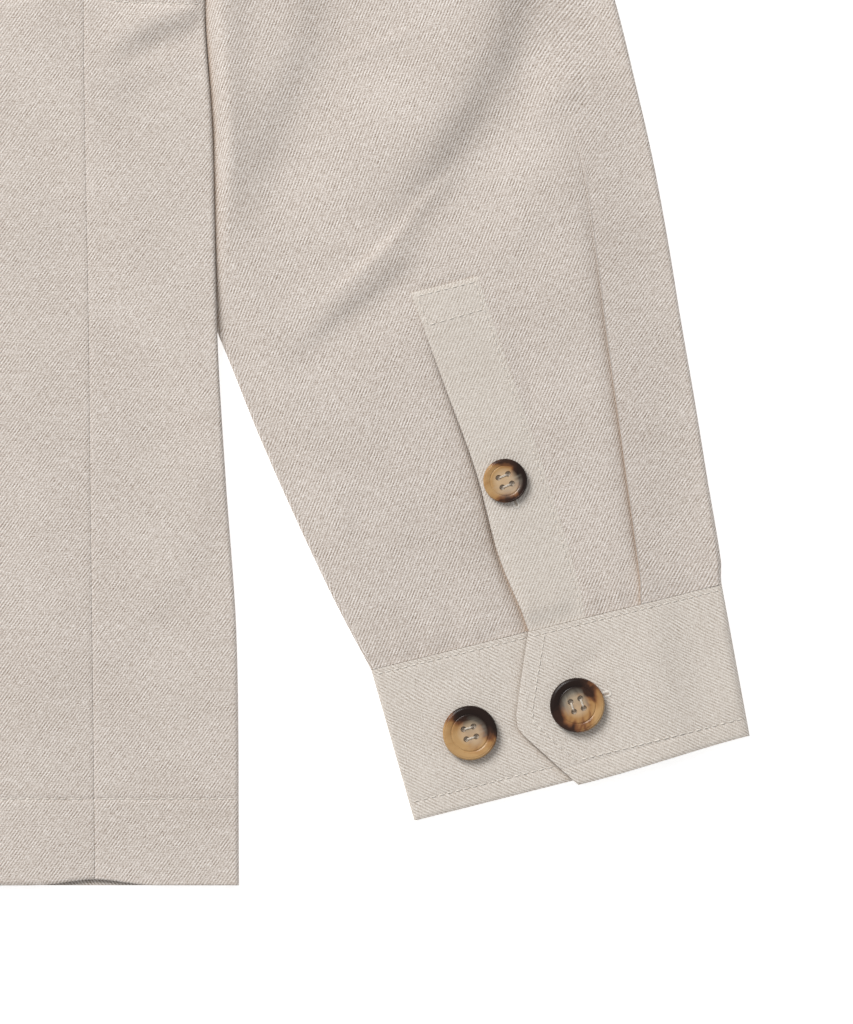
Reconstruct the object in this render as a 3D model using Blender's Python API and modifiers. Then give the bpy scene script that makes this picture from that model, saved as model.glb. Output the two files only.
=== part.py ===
"""A safari jacket laid flat on its back, as the pieces of cloth that a maker cuts and sews.

Every piece of cloth is a wall in the garment's own form. X runs to the wearer's left, Y runs up from
the hem and Z points up off the table. The fronts lie on the back, the sleeves pass under the body's
sides, and the origin is under the middle of the jacket.
"""

import math

import bmesh
import bpy
from mathutils import Matrix, Vector
from mathutils.geometry import intersect_point_line

# All lengths are in metres. The body and sleeve plans are measured from the middle of the hem.
WALL = 0.0010  # cloth of the body and sleeves, with its turnings
CUFF_WALL = 0.0012  # cloth of a cuff, which is faced
GAP = 0.0003  # air between two pieces at a seam
STEP = WALL + GAP  # from one layer to the next
ROOM = 0.0010  # air between the fronts and the back
SIDE_ROOM = 0.0006  # the same at the side seams
NECK_ROOM = 0.0003  # the same at the shoulders and the neck
LIFT = 0.0030  # height of the body where a sleeve passes under it
BODY_FOLD = 0.0013  # radius of the body's side folds
SLEEVE_FOLD = 0.00125  # radius of a sleeve's folds
CUFF_FOLD = 0.0014  # radius of a cuff's folds
PUFF = 0.0023  # most air inside a sleeve, over that in its folds
FOLD_STEPS = 3  # flats round a fold

MIDDLE = 0.3675  # height of the jacket's middle above its hem
BAND_HALF = 0.017  # half the width of the front band
NECK = (0.080, 0.720)  # where a shoulder seam meets the neck
SHOULDER = (0.232, 0.678)  # where a shoulder seam meets the sleeve
ARMPIT = (0.2667, 0.452)
FRONT_NECK = 0.641  # height of the front neck at the middle
BACK_NECK = 0.700  # height of the back neck at the middle
ARMHOLE_PULLS = ((0.200, 0.425), (0.178, 0.560))  # control points of the armhole's curve
SIDE_SEAM_AT = 0.35  # where the side seam meets the armhole, as a share of its curve
PIN = 0.440  # rows of the body keep straight below about this height
HEM_RISE = 0.0019  # the front hem stands this much short at the side seam
HEM_RISE_HALF = 0.020  # half the width of that rise

BUTTON_LARGE = 0.019
BUTTON_SMALL = 0.0153

# The body's half plan: height, the folded edge, the side seam that lies forward of it.
BODY_EDGE = (
    dict(y=0.000, fold=0.2700, seam=0.2200),
    dict(y=0.085, fold=0.2692, seam=0.2190),
    dict(y=0.140, fold=0.2655, seam=0.2183),
    dict(y=0.190, fold=0.2626, seam=0.2178),
    dict(y=0.262, fold=0.2608, seam=0.2165),
    dict(y=0.305, fold=0.2582, seam=0.2160),
    dict(y=0.370, fold=0.2620, seam=0.2150),
    dict(y=0.452, fold=0.2680, seam=0.2148),
)
BODY_ROWS = (0, 0.03, 0.075, 0.12, 0.16, 0.191, 0.225, 0.26, 0.285, 0.305, 0.335, 0.37, 0.405, 0.44)
ARMHOLE_STOPS = (0.35, 0.46, 0.57, 0.68, 0.79, 0.90, 1.00)  # rows beside the armhole
WRAP_STOPS = (0.35, 0.22, 0.13, 0.06, 0.00)  # columns from the side seam to the fold

# Columns of a front and of half the back: where each stands at the hem and at the shoulder or neck.
FRONT_COLUMNS = (
    (0.017, 0.017), (0.030, 0.0333), (0.046, 0.0485), (0.062, 0.0615), (0.078, 0.0716), (0.094, 0.0779),
    (0.110, 0.0800), (0.133, 0.110), (0.156, 0.146), (0.178, 0.180), (0.198, 0.210), (None, 0.232),
)
BACK_COLUMNS = (
    (0.0, 0.0), (0.030, 0.022), (0.055, 0.044), (0.082, 0.064), (0.110, 0.080), (0.145, 0.122),
    (0.178, 0.180), (0.198, 0.210), (None, 0.232),
)

# A sleeve's outer edge: height and distance from the middle.
SLEEVE_OUTER = (
    dict(y=0.0520, x=0.4474), dict(y=0.0852, x=0.4429), dict(y=0.1045, x=0.4377), dict(y=0.1130, x=0.4374),
    dict(y=0.1408, x=0.4328), dict(y=0.1686, x=0.4283), dict(y=0.1964, x=0.4235), dict(y=0.2240, x=0.4190),
    dict(y=0.2520, x=0.4138), dict(y=0.2797, x=0.4075), dict(y=0.3075, x=0.4006), dict(y=0.3600, x=0.3850),
    dict(y=0.4200, x=0.3630), dict(y=0.4800, x=0.3375), dict(y=0.5400, x=0.3093), dict(y=0.6000, x=0.2795),
    dict(y=0.6500, x=0.2530), dict(y=0.6780, x=0.2372),
)
# Sections across a sleeve from the cuff to the armpit: the inner end, the outer end's height, and, as
# shares of the width, the placket's two edges and the pleat beside it.
SLEEVE_SECTIONS = (
    dict(x=0.3158, y=0.0748, outer_y=0.1045, left=0.450, right=0.615, pleat=0.775),
    dict(x=0.3030, y=0.0990, outer_y=0.1330, left=0.437, right=0.618, pleat=0.797),
    dict(x=0.2898, y=0.1269, outer_y=0.1630, left=0.449, right=0.610, pleat=0.815),
    dict(x=0.2765, y=0.1570, outer_y=0.1980, left=0.438, right=0.593, pleat=0.832),
    dict(x=0.2635, y=0.1895, outer_y=0.2275, left=0.426, right=0.579, pleat=0.847),
    dict(x=0.2505, y=0.2190, outer_y=0.2620, left=0.420, right=0.580, pleat=0.860),
    dict(x=0.2380, y=0.2480, outer_y=0.2920, left=0.420, right=0.580, pleat=0.850),
    dict(x=0.2260, y=0.2770, outer_y=0.3250, left=0.420, right=0.580, pleat=0.830),
    dict(x=0.2115, y=0.3070, outer_y=0.3570, left=0.420, right=0.580, pleat=0.800),
    dict(x=0.2040, y=0.3450, outer_y=0.4000, left=0.420, right=0.580, pleat=0.790),
    dict(x=0.2110, y=0.3780, outer_y=0.4320, left=0.420, right=0.580, pleat=0.790),
    dict(x=0.2280, y=0.4100, outer_y=0.4550, left=0.420, right=0.580, pleat=0.790),
    dict(x=0.2500, y=0.4360, outer_y=0.4740, left=0.420, right=0.580, pleat=0.790),
    dict(x=0.2680, y=0.4520, outer_y=0.4860, left=0.420, right=0.580, pleat=0.790),
)
# Sections above the armpit run from the armhole: its share of that curve and the outer end's height.
MOUTH_SECTIONS = (
    dict(stop=0.06, outer_y=0.492), dict(stop=0.13, outer_y=0.500), dict(stop=0.22, outer_y=0.510),
    dict(stop=0.35, outer_y=0.524), dict(stop=0.46, outer_y=0.545), dict(stop=0.57, outer_y=0.570),
    dict(stop=0.68, outer_y=0.597), dict(stop=0.79, outer_y=0.625), dict(stop=0.90, outer_y=0.652),
    dict(stop=1.00, outer_y=0.676),
)
PLACKET_TOP = 4  # the section that the sleeve placket reaches
PLEAT_RISE = 0.0014
PLEAT_ROWS = 5  # sections over which the pleat dies out

# A cuff laid out: its four corners, and the slanted end of the half that laps over, as shares of the
# width, by the share of the cuff's depth from its top seam.
CUFF_INNER_TOP = (0.3158, 0.0748)
CUFF_OUTER_TOP = (0.4377, 0.1045)
CUFF_OUTER_END = (0.4474, 0.0520)
CUFF_INNER_END = (0.3308, 0.0224)
CUFF_LAP = (
    dict(depth=0.00, end=0.447), dict(depth=0.25, end=0.399), dict(depth=0.50, end=0.350),
    dict(depth=0.62, end=0.360), dict(depth=0.81, end=0.422), dict(depth=1.00, end=0.484),
)
CUFF_TOP_LOW = 0.0028  # outer face of a cuff's single top layer
CUFF_TOP_HIGH = 0.0043  # the same where the two halves lap
CUFF_UNDER_END = 0.72  # where the half beneath ends, as a share of the width
CUFF_RAMP = (0.77, 0.92)  # where the lap comes down to the outer fold

# The collar's stand, crease and leaf, from the middle of the back round to the front.
STAND_BACK = (
    dict(crease=(0.000, 0.7350), seam=(0.0000, 0.7000)),
    dict(crease=(0.025, 0.7345), seam=(0.0270, 0.7015)),
    dict(crease=(0.047, 0.7325), seam=(0.0520, 0.7080)),
    dict(crease=(0.060, 0.7300), seam=(0.0680, 0.7150)),
    dict(crease=(0.069, 0.7270), seam=(0.0775, 0.7200)),
)
STAND_FRONT = (
    dict(crease=(0.0690, 0.7150), turn=78), dict(crease=(0.0650, 0.6980), turn=66),
    dict(crease=(0.0520, 0.6815), turn=48), dict(crease=(0.0340, 0.6690), turn=26),
    dict(crease=(0.0170, 0.6620), turn=0),
)
LEAF_BACK = (
    dict(crease=(0.000, 0.7350), edge=(0.0000, 0.7025)),
    dict(crease=(0.025, 0.7345), edge=(0.0280, 0.7048)),
    dict(crease=(0.048, 0.7325), edge=(0.0560, 0.7125)),
    dict(crease=(0.0635, 0.7310), edge=(0.0800, 0.7235)),
    dict(crease=(0.0710, 0.7300), edge=(0.1030, 0.7245)),
)
LEAF_FRONT = (
    dict(crease=(0.0712, 0.7160), edge=(0.1060, 0.7110)), dict(crease=(0.0660, 0.6990), edge=(0.1000, 0.6840)),
    dict(crease=(0.0530, 0.6830), edge=(0.0880, 0.6560)), dict(crease=(0.0340, 0.6710), edge=(0.0720, 0.6300)),
    dict(crease=(0.0120, 0.6640), edge=(0.0540, 0.6030)),
)
NECK_INSET = 0.0012  # the stand's front seam lies this far inside the neck
STAND_BACK_LOW = WALL + GAP
STAND_FRONT_TOP = STAND_BACK_LOW + 2 * WALL + GAP
LEAF_CREASE_TOP = 0.0051
LEAF_EDGE_TOP = 0.0045

# Patch pockets and their flaps on a front: the two sides, the bottom, the top and the corners' cut.
FRONT_TOP = 2 * WALL + ROOM  # outer face of a front where nothing lifts it
POCKETS = (
    dict(name="pocket_lower", left=0.036, right=0.178, bottom=0.075, top=0.255, corner=0.014, low=FRONT_TOP + GAP),
    dict(name="flap_lower", left=0.036, right=0.178, bottom=0.205, top=0.262, corner=0.010, low=FRONT_TOP + GAP + STEP),
    dict(name="pocket_chest", left=0.055, right=0.175, bottom=0.400, top=0.530, corner=0.014, low=FRONT_TOP + GAP),
    dict(name="flap_chest", left=0.055, right=0.175, bottom=0.490, top=0.536, corner=0.010, low=FRONT_TOP + GAP + STEP),
)
FLAP_BUTTON_RISE = 0.016  # from a flap's lower edge to its button

# Buttons down the front band and on each sleeve.
FRONT_BUTTONS = (0.075, 0.173, 0.271, 0.369, 0.467, 0.565)
STAND_BUTTON = 0.651
SLEEVE_BUTTONS = (
    dict(name="button_placket", x=0.3624, y=0.1405, width=BUTTON_SMALL),
    dict(name="button_cuff_over", x=0.3874, y=0.0627, width=BUTTON_LARGE),
    dict(name="button_cuff_under", x=0.3502, y=0.0530, width=BUTTON_LARGE),
)


def smooth(start, end, at):
    """An even rise from 0 at start to 1 at end."""
    share = min(1.0, max(0.0, (at - start) / (end - start)))
    return share * share * (3 - 2 * share)


def through(rows, at, column):
    """The value of one column on a smooth curve through rows that are sorted by y."""
    last = len(rows) - 2
    n = max(0, min(last, sum(row["y"] <= at for row in rows) - 1))
    low, high = rows[n], rows[n + 1]
    span = high["y"] - low["y"]

    def slope(k):
        before, after = rows[max(0, k - 1)], rows[min(len(rows) - 1, k + 1)]
        return (after[column] - before[column]) / (after["y"] - before["y"])

    t = (at - low["y"]) / span
    return (
        (2 * t**3 - 3 * t**2 + 1) * low[column] + (t**3 - 2 * t**2 + t) * span * slope(n)
        + (3 * t**2 - 2 * t**3) * high[column] + (t**3 - t**2) * span * slope(n + 1)
    )


def mix(start, end, share):
    return tuple(a + (b - a) * share for a, b in zip(start, end))


def armhole(share):
    """The armhole's curve in plan, from the armpit to the shoulder."""
    points = (ARMPIT, *ARMHOLE_PULLS, SHOULDER)
    weights = ((1 - share) ** 3, 3 * share * (1 - share) ** 2, 3 * share**2 * (1 - share), share**3)
    return tuple(sum(w * point[k] for w, point in zip(weights, points)) for k in (0, 1))


def beside_armhole(share, away):
    """A point beside the armhole, away from the body."""
    x, y = armhole(share)
    ahead, behind = armhole(min(1, share + 0.01)), armhole(max(0, share - 0.01))
    along = Vector((ahead[0] - behind[0], ahead[1] - behind[1])).normalized()
    return x + along.y * away, y - along.x * away


def gap_to(outline, x, y):
    """How far a point lies outside a closed outline in plan, and 0 inside it."""
    point = Vector((x, y))
    nearest, inside = 1.0, False
    for (ax, ay), (bx, by) in zip(outline, outline[1:] + outline[:1]):
        foot, share = intersect_point_line(point, Vector((ax, ay)), Vector((bx, by)))
        foot = Vector(mix((ax, ay), (bx, by), min(1, max(0, share))))
        nearest = min(nearest, (point - foot).length)
        if (ay > y) != (by > y) and x < ax + (bx - ax) * (y - ay) / (by - ay):
            inside = not inside
    return 0.0 if inside else nearest


TUCKED = [(s["x"], s["y"]) for s in SLEEVE_SECTIONS[3:]] + [(0.330, 0.452), (0.330, 0.157)]
BODY = (
    [(0.0, 0.0)] + [(row["fold"], row["y"]) for row in BODY_EDGE]
    + [armhole(share) for share in ARMHOLE_STOPS] + [NECK, (0.0, NECK[1])]
)


def lift(x, y):
    """Height of the body off the table, over the sleeve that is tucked under it."""
    return LIFT * (1 - smooth(0.012, 0.038, gap_to(TUCKED, abs(x), y)))


def body_row_height(x, level):
    """Height in plan of a body row at x: straight at the hem and following the armhole at the top."""
    seam_x, seam_y = armhole(SIDE_SEAM_AT)
    if x <= seam_x:
        top = PIN + (seam_y - PIN) * (x / seam_x) ** 3
    else:
        share = min(WRAP_STOPS, key=lambda stop: abs(armhole(stop)[0] - x))
        for inner, outer in zip(WRAP_STOPS, WRAP_STOPS[1:]):
            left, right = armhole(inner), armhole(outer)
            if left[0] <= x <= right[0]:
                share = inner + (outer - inner) * (x - left[0]) / (right[0] - left[0])
        top = armhole(share)[1]
    return level + (level / PIN) ** 6 * (top - PIN)


def neck_line(x, front):
    """The neck's edge in plan, or the shoulder seam where x is past the neck."""
    if x >= NECK[0]:
        return NECK[1] + (SHOULDER[1] - NECK[1]) * (x - NECK[0]) / (SHOULDER[0] - NECK[0])
    if not front:
        return BACK_NECK + (NECK[1] - BACK_NECK) * (x / NECK[0]) ** 2.2
    across = (max(x, BAND_HALF) - BAND_HALF) / (NECK[0] - BAND_HALF)
    return NECK[1] - (NECK[1] - FRONT_NECK) * math.sqrt(max(0, 1 - across**2))


def body_plan(columns, front):
    """Rows of plan points for a front or half the back, from the hem to the shoulder and neck."""
    rows = []
    for level in BODY_ROWS:
        seam = through(BODY_EDGE, level, "seam")
        row = []
        for n, (low, _) in enumerate(columns):
            x = seam if low is None else low
            y = body_row_height(armhole(SIDE_SEAM_AT)[0] if low is None else x, level)
            if front and level == 0:
                y += hem_rise(x)
            row.append((x, y))
        rows.append(row)
    low = rows[-1]
    high = [(top, neck_line(top, front)) for _, top in columns]
    right = [armhole(stop) for stop in ARMHOLE_STOPS]
    low[-1] = right[0]
    for k, outer in enumerate(right[1:], 1):
        up = (outer[1] - right[0][1]) / (right[-1][1] - right[0][1])
        inner = mix(low[0], high[0], up)
        row = []
        for n in range(len(columns)):
            across = (low[n][0] - low[0][0]) / (low[-1][0] - low[0][0])
            ends = mix(mix(low[0], low[-1], across), mix(high[0], high[-1], across), up)
            edges = mix(low[n], high[n], up), mix(inner, outer, across)
            row.append(tuple(a + b - c for a, b, c in zip(*edges, ends)))
        rows.append(row)
    return rows


def hem_rise(x):
    """How far the front hem is drawn up where it gapes at the side seam."""
    seam = BODY_EDGE[0]["seam"]
    return HEM_RISE * smooth(1, 0, abs(x - seam) / HEM_RISE_HALF)


def fold_arc(centre, away, low, high):
    """Points round a fold between two heights, bulging away from its centre in plan."""
    radius = (high - low) / 2
    for n in range(1, FOLD_STEPS):
        angle = math.pi * n / FOLD_STEPS
        out = radius * math.sin(angle)
        yield centre[0] + away[0] * out, centre[1] + away[1] * out, high - radius * (1 - math.cos(angle))


def material(name, colour, roughness, sheen=0.0):
    made = bpy.data.materials.new(name)
    made.use_nodes = True
    made.diffuse_color = (*colour, 1)
    shader = made.node_tree.nodes["Principled BSDF"]
    shader.inputs["Base Color"].default_value = (*colour, 1)
    shader.inputs["Roughness"].default_value = roughness
    shader.inputs["Sheen Weight"].default_value = sheen
    return made


def place(name, mesh, made):
    """Adds a mesh to the jacket's collection, with its material, and moves the hem to its place."""
    if not mesh.materials:
        mesh.materials.append(made)
    obj = bpy.data.objects.new(name, mesh)
    obj.location.y = -MIDDLE
    jacket.objects.link(obj)
    return obj


def cloth(name, rows, wall=WALL, closed=False, left_out=()):
    """Makes a piece of cloth from rows of points on its outer face. Its thickness goes inward."""
    form = bmesh.new()
    verts = [[form.verts.new(point) for point in row] for row in rows]
    count = len(rows[0])
    for i in range(len(rows) - 1):
        for j in range(count if closed else count - 1):
            if (i, j) in left_out:
                continue
            k = (j + 1) % count
            a, b, c, d = verts[i][j], verts[i][k], verts[i + 1][k], verts[i + 1][j]
            # Each cell is split from its corner nearest the middle of the hem, so that layers match.
            if abs(a.co.x) > abs(b.co.x):
                a, b, c, d = b, c, d, a
            form.faces.new((a, b, c))
            form.faces.new((a, c, d))
    for vert in [vert for vert in form.verts if not vert.link_faces]:
        form.verts.remove(vert)
    mesh = bpy.data.meshes.new(name)
    form.to_mesh(mesh)
    form.free()
    obj = place(name, mesh, twill)
    solid = obj.modifiers.new("wall", "SOLIDIFY")
    solid.thickness = wall
    solid.offset = -1
    solid.use_even_offset = True
    return obj


def mirrored(rows):
    """The same piece for the wearer's right, with its outer face still outward."""
    return [[(-x, y, z) for x, y, z in reversed(row)] for row in rows]


def plate(name, outline, low, high):
    """Makes a flat piece of cloth from its outline, which runs round to the left."""
    form = bmesh.new()
    under = [form.verts.new((x, y, low)) for x, y in outline]
    over = [form.verts.new((x, y, high)) for x, y in outline]
    form.faces.new(under[::-1])
    form.faces.new(over)
    for n in range(len(outline)):
        k = (n + 1) % len(outline)
        form.faces.new((under[n], under[k], over[k], over[n]))
    mesh = bpy.data.meshes.new(name)
    form.to_mesh(mesh)
    form.free()
    return place(name, mesh, twill)


def back_rows():
    """The back's outer face: forward of each side fold to the side seam, and flat between the folds."""
    plan = body_plan(BACK_COLUMNS, front=False)
    rows = []
    for i, half in enumerate(plan):
        level = BODY_ROWS[min(i, len(BODY_ROWS) - 1)]
        seam_x = armhole(SIDE_SEAM_AT)[0]
        seam = half[-1][0]
        edge = through(BODY_EDGE, level, "fold") - BODY_FOLD
        wrap = []
        for stop in WRAP_STOPS:
            across = (armhole(stop)[0] - seam_x) / (ARMPIT[0] - seam_x)
            x = seam + (edge - seam) * across
            y = body_row_height(armhole(stop)[0], level)
            wrap.append((x, y))
        side_y = wrap[-1][1]
        rise = lift(edge, side_y)
        top = []
        for x, y in wrap:
            over = y + (hem_rise(x) if level == 0 else 0)
            top.append((x, over, lift(x, y) + 2 * WALL + SIDE_ROOM))
        low = [(x, y, lift(x, y)) for x, y in wrap[::-1]]
        fold = list(fold_arc((edge, side_y), (1, 0), rise, rise + 2 * BODY_FOLD))
        under = [(x, y, lift(x, y)) for x, y in half[-2::-1]]
        left = top + fold + low[:-1] + [(*half[-1], lift(*half[-1]))] + under
        rows.append(left + [(-x, y, z) for x, y, z in left[-2::-1]])
    return rows


def make_back():
    rows = back_rows()
    count = len(rows[0])
    wrap = 2 * len(WRAP_STOPS) + FOLD_STEPS - 2
    open_rows = range(len(BODY_ROWS) - 1, len(rows) - 1)
    left_out = {(i, j) for i in open_rows for j in range(wrap)}
    left_out |= {(i, count - 2 - j) for i in open_rows for j in range(wrap)}
    cloth("back", rows, left_out=left_out)


def front_rows(raised):
    """A front's outer face. The left front is raised where it laps over the right."""
    plan = body_plan(FRONT_COLUMNS, front=True)
    rows = []
    for i, half in enumerate(plan):
        from_top = len(plan) - 1 - i
        row = []
        for n, (x, y) in enumerate([(-BAND_HALF, half[0][1]), (0.0, half[0][1])] + half):
            from_side = len(half) + 1 - n
            room = ROOM - (ROOM - SIDE_ROOM) * (1 - from_side / 2 if from_side < 2 else 0)
            room = min(room, NECK_ROOM + (ROOM - NECK_ROOM) * from_top / 2)
            side_gap = GAP if from_side == 0 and i < len(BODY_ROWS) else 0
            height = lift(x, y) + 2 * WALL + room
            if raised:
                height += STEP * (1 - min(1, max(0, (x - BAND_HALF) / 0.013)))
            row.append((x - side_gap, y, height))
        rows.append(row)
    return rows


def make_fronts():
    left = front_rows(raised=True)
    cloth("front_left", left)
    cloth("front_right", mirrored(front_rows(raised=False)))
    band = [[(x, y, z + STEP) for x, y, z in row[:3]] for row in left]
    cloth("front_band", band)
    return band


def sleeve_columns(section):
    """Columns over the top of a sleeve, as shares of its width."""
    left, right, pleat = section["left"], section["right"], section["pleat"]
    under = pleat + 0.022
    return (
        0, 0.22 * left, 0.48 * left, 0.75 * left, left, (left + right) / 2, right,
        (right + pleat) / 2, pleat, under, (1 + under) / 2, 1,
    )


def sleeve_rows():
    """A sleeve's outer face, section by section from the cuff to the shoulder."""
    sections = [dict(s, start=(s["x"], s["y"]), mouth=False) for s in SLEEVE_SECTIONS]
    last = SLEEVE_SECTIONS[-1]
    for section in MOUTH_SECTIONS:
        start = beside_armhole(section["stop"], GAP)
        sections.append(dict(last, start=start, outer_y=section["outer_y"], mouth=True))
    rows = []
    for i, section in enumerate(sections):
        outer = (through(SLEEVE_OUTER, section["outer_y"], "x"), section["outer_y"])
        along = (Vector(outer) - Vector(section["start"])).normalized()
        start = section["start"]
        if not section["mouth"]:
            start = (start[0] + along.x * SLEEVE_FOLD, start[1] + along.y * SLEEVE_FOLD)
        end = (outer[0] - along.x * SLEEVE_FOLD, outer[1] - along.y * SLEEVE_FOLD)
        top = []
        for share in sleeve_columns(section):
            x, y = mix(start, end, share)
            puff = PUFF * smooth(0.004, 0.034, gap_to(BODY, x, y)) * smooth(0, 0.15, share) * smooth(1, 0.85, share)
            if share == section["pleat"]:
                puff += PLEAT_RISE * smooth(PLEAT_ROWS, 1, i)
            top.append((x, y, 2 * SLEEVE_FOLD + puff))
        outer_fold = list(fold_arc(end, along, 0, 2 * SLEEVE_FOLD))
        low = [(*mix(start, end, share), 0.0) for share in (1, 0.8, 0.6, 0.4, 0.2, 0)]
        inner_fold = [(x, y, 2 * SLEEVE_FOLD - z) for x, y, z in fold_arc(start, -along, 0, 2 * SLEEVE_FOLD)]
        rows.append(top + outer_fold + low + inner_fold)
    return rows


def make_sleeves():
    rows = sleeve_rows()
    count = len(rows[0])
    first_open = len(SLEEVE_SECTIONS) - 1
    left_out = {(i, count - 1 - j) for i in range(first_open, len(rows)) for j in range(FOLD_STEPS)}
    cloth("sleeve_left", rows, closed=True, left_out=left_out)
    turned = mirrored(rows)
    # Reversed, the cells between two columns start one column earlier, so the fold's cells come first.
    left_out = {(i, j) for i in range(first_open, len(rows)) for j in (count - 1, 0, 1)}
    cloth("sleeve_right", turned, closed=True, left_out=left_out)
    placket = [[(x, y, z + STEP) for x, y, z in row[4:7]] for row in rows[: PLACKET_TOP + 1]]
    cloth("sleeve_placket_left", placket)
    cloth("sleeve_placket_right", mirrored(placket))


def cuff_rows():
    """A cuff's outer face, from the end that laps over, round the wrist, to the end beneath."""
    rows = []
    for lap in reversed(CUFF_LAP):
        inner = mix(CUFF_INNER_TOP, CUFF_INNER_END, lap["depth"])
        outer = mix(CUFF_OUTER_TOP, CUFF_OUTER_END, lap["depth"])
        if lap["depth"] == 0:
            away = (Vector(CUFF_INNER_END) - Vector(CUFF_INNER_TOP)).normalized() * GAP
            inner = (inner[0] + away.x, inner[1] + away.y)
            outer = (outer[0] + away.x, outer[1] + away.y)
        along = (Vector(outer) - Vector(inner)).normalized()
        start = (inner[0] + along.x * CUFF_FOLD, inner[1] + along.y * CUFF_FOLD)
        end = (outer[0] - along.x * CUFF_FOLD, outer[1] - along.y * CUFF_FOLD)
        top = []
        for share in (0, 0.25, 0.5, 0.75, 1):
            x, y = mix(start, end, lap["end"] + (CUFF_RAMP[0] - lap["end"]) * share)
            top.append((x, y, CUFF_TOP_HIGH))
        top += [(*mix(start, end, share), CUFF_TOP_LOW) for share in (CUFF_RAMP[1], 1)]
        low = [(*mix(start, end, share), 0.0) for share in (1, 0.75, 0.5, 0.25, 0)]
        under = [(*mix(start, end, CUFF_UNDER_END * share), CUFF_TOP_LOW) for share in (0, 0.2, 0.4, 0.6, 0.8, 1)]
        outer_fold = list(fold_arc(end, along, 0, 2 * CUFF_FOLD))
        inner_fold = [(x, y, 2 * CUFF_FOLD - z) for x, y, z in fold_arc(start, -along, 0, 2 * CUFF_FOLD)]
        rows.append(top + outer_fold + low + inner_fold + under)
    return rows


def make_cuffs():
    rows = cuff_rows()
    cloth("cuff_left", rows, wall=CUFF_WALL)
    cloth("cuff_right", mirrored(rows), wall=CUFF_WALL)


def ring_fold(inner, outer, low, high):
    """Points round a fold of the collar from its top to its underside, for the crease and the edge."""
    along = (Vector(outer) - Vector(inner)).normalized()
    away = (-along.y, along.x)
    return [
        (a, b) for a, b in zip(fold_arc(inner, away, low, high), fold_arc(outer, away, low, high))
    ]


def make_stand():
    """The collar's stand, from its end under the left front round the neck to its end on top."""
    low = STAND_BACK_LOW
    top = STAND_FRONT_TOP
    back = [((*s["crease"], low), (*s["seam"], low)) for s in STAND_BACK]
    fold = ring_fold(STAND_BACK[-1]["crease"], STAND_BACK[-1]["seam"], low, top)
    front = []
    for station in STAND_FRONT:
        turn = math.radians(station["turn"])
        seam = (
            BAND_HALF + (NECK[0] - BAND_HALF - NECK_INSET) * math.sin(turn),
            NECK[1] - (NECK[1] - FRONT_NECK - NECK_INSET) * math.cos(turn),
        )
        front.append(((*station["crease"], top), (*seam, top)))
    end_crease, end_seam = front[-1]
    last_front = [(STAND_BACK[-1]["crease"] + (top,), STAND_BACK[-1]["seam"] + (top,))]
    front = last_front + front
    left_end = [tuple((x, point[1], top) for point in (end_crease, end_seam)) for x in (0.0, -BAND_HALF)]
    right = []
    for crease, seam in front:
        drop = STEP * smooth(0.070, 0.030, seam[0])
        right.append(((-crease[0], crease[1], top - drop), (-seam[0], seam[1], top - drop)))
    under_end = [tuple((x, point[1], top - STEP) for point in (end_crease, end_seam)) for x in (BAND_HALF, 0.0)]
    right_fold = [tuple((-x, y, z) for x, y, z in pair) for pair in fold]
    right_back = [tuple((-x, y, z) for x, y, z in pair) for pair in back]
    stations = (
        under_end + right[::-1] + right_fold + right_back[::-1]
        + back[1:] + fold[::-1] + front + left_end
    )
    cloth("collar_stand", [[s[0] for s in stations], [mix(s[0], s[1], 0.5) for s in stations], [s[1] for s in stations]])


def make_leaf():
    """The collar's leaf, from its right point round behind the neck to its left point."""
    back = [((*s["crease"], 0.0), (*s["edge"], 0.0)) for s in LEAF_BACK]
    turn = LEAF_BACK[-1]
    crease_fold = fold_arc(turn["crease"], (0.1, 0.995), 0, LEAF_CREASE_TOP)
    edge_fold = fold_arc(turn["edge"], (0.1, 0.995), 0, LEAF_EDGE_TOP)
    fold = list(zip(crease_fold, edge_fold))
    front = [((*s["crease"], LEAF_CREASE_TOP), (*s["edge"], LEAF_EDGE_TOP)) for s in (turn, *LEAF_FRONT)]
    half = back + fold[::-1] + front
    stations = [tuple((-x, y, z) for x, y, z in pair) for pair in half[:0:-1]] + half
    cloth("collar", [[s[0] for s in stations], [mix(s[0], s[1], 0.5) for s in stations], [s[1] for s in stations]])


def pocket_outline(pocket, side):
    left, right, cut = pocket["left"], pocket["right"], pocket["corner"]
    bottom, top = pocket["bottom"], pocket["top"]
    outline = [
        (left, top), (left, bottom + cut), (left + cut, bottom),
        (right - cut, bottom), (right, bottom + cut), (right, top),
    ]
    return outline if side > 0 else [(-x, y) for x, y in reversed(outline)]


def make_pockets():
    for side, which in ((1, "left"), (-1, "right")):
        for pocket in POCKETS:
            name = f"{pocket['name']}_{which}"
            plate(name, pocket_outline(pocket, side), pocket["low"], pocket["low"] + WALL)


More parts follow.
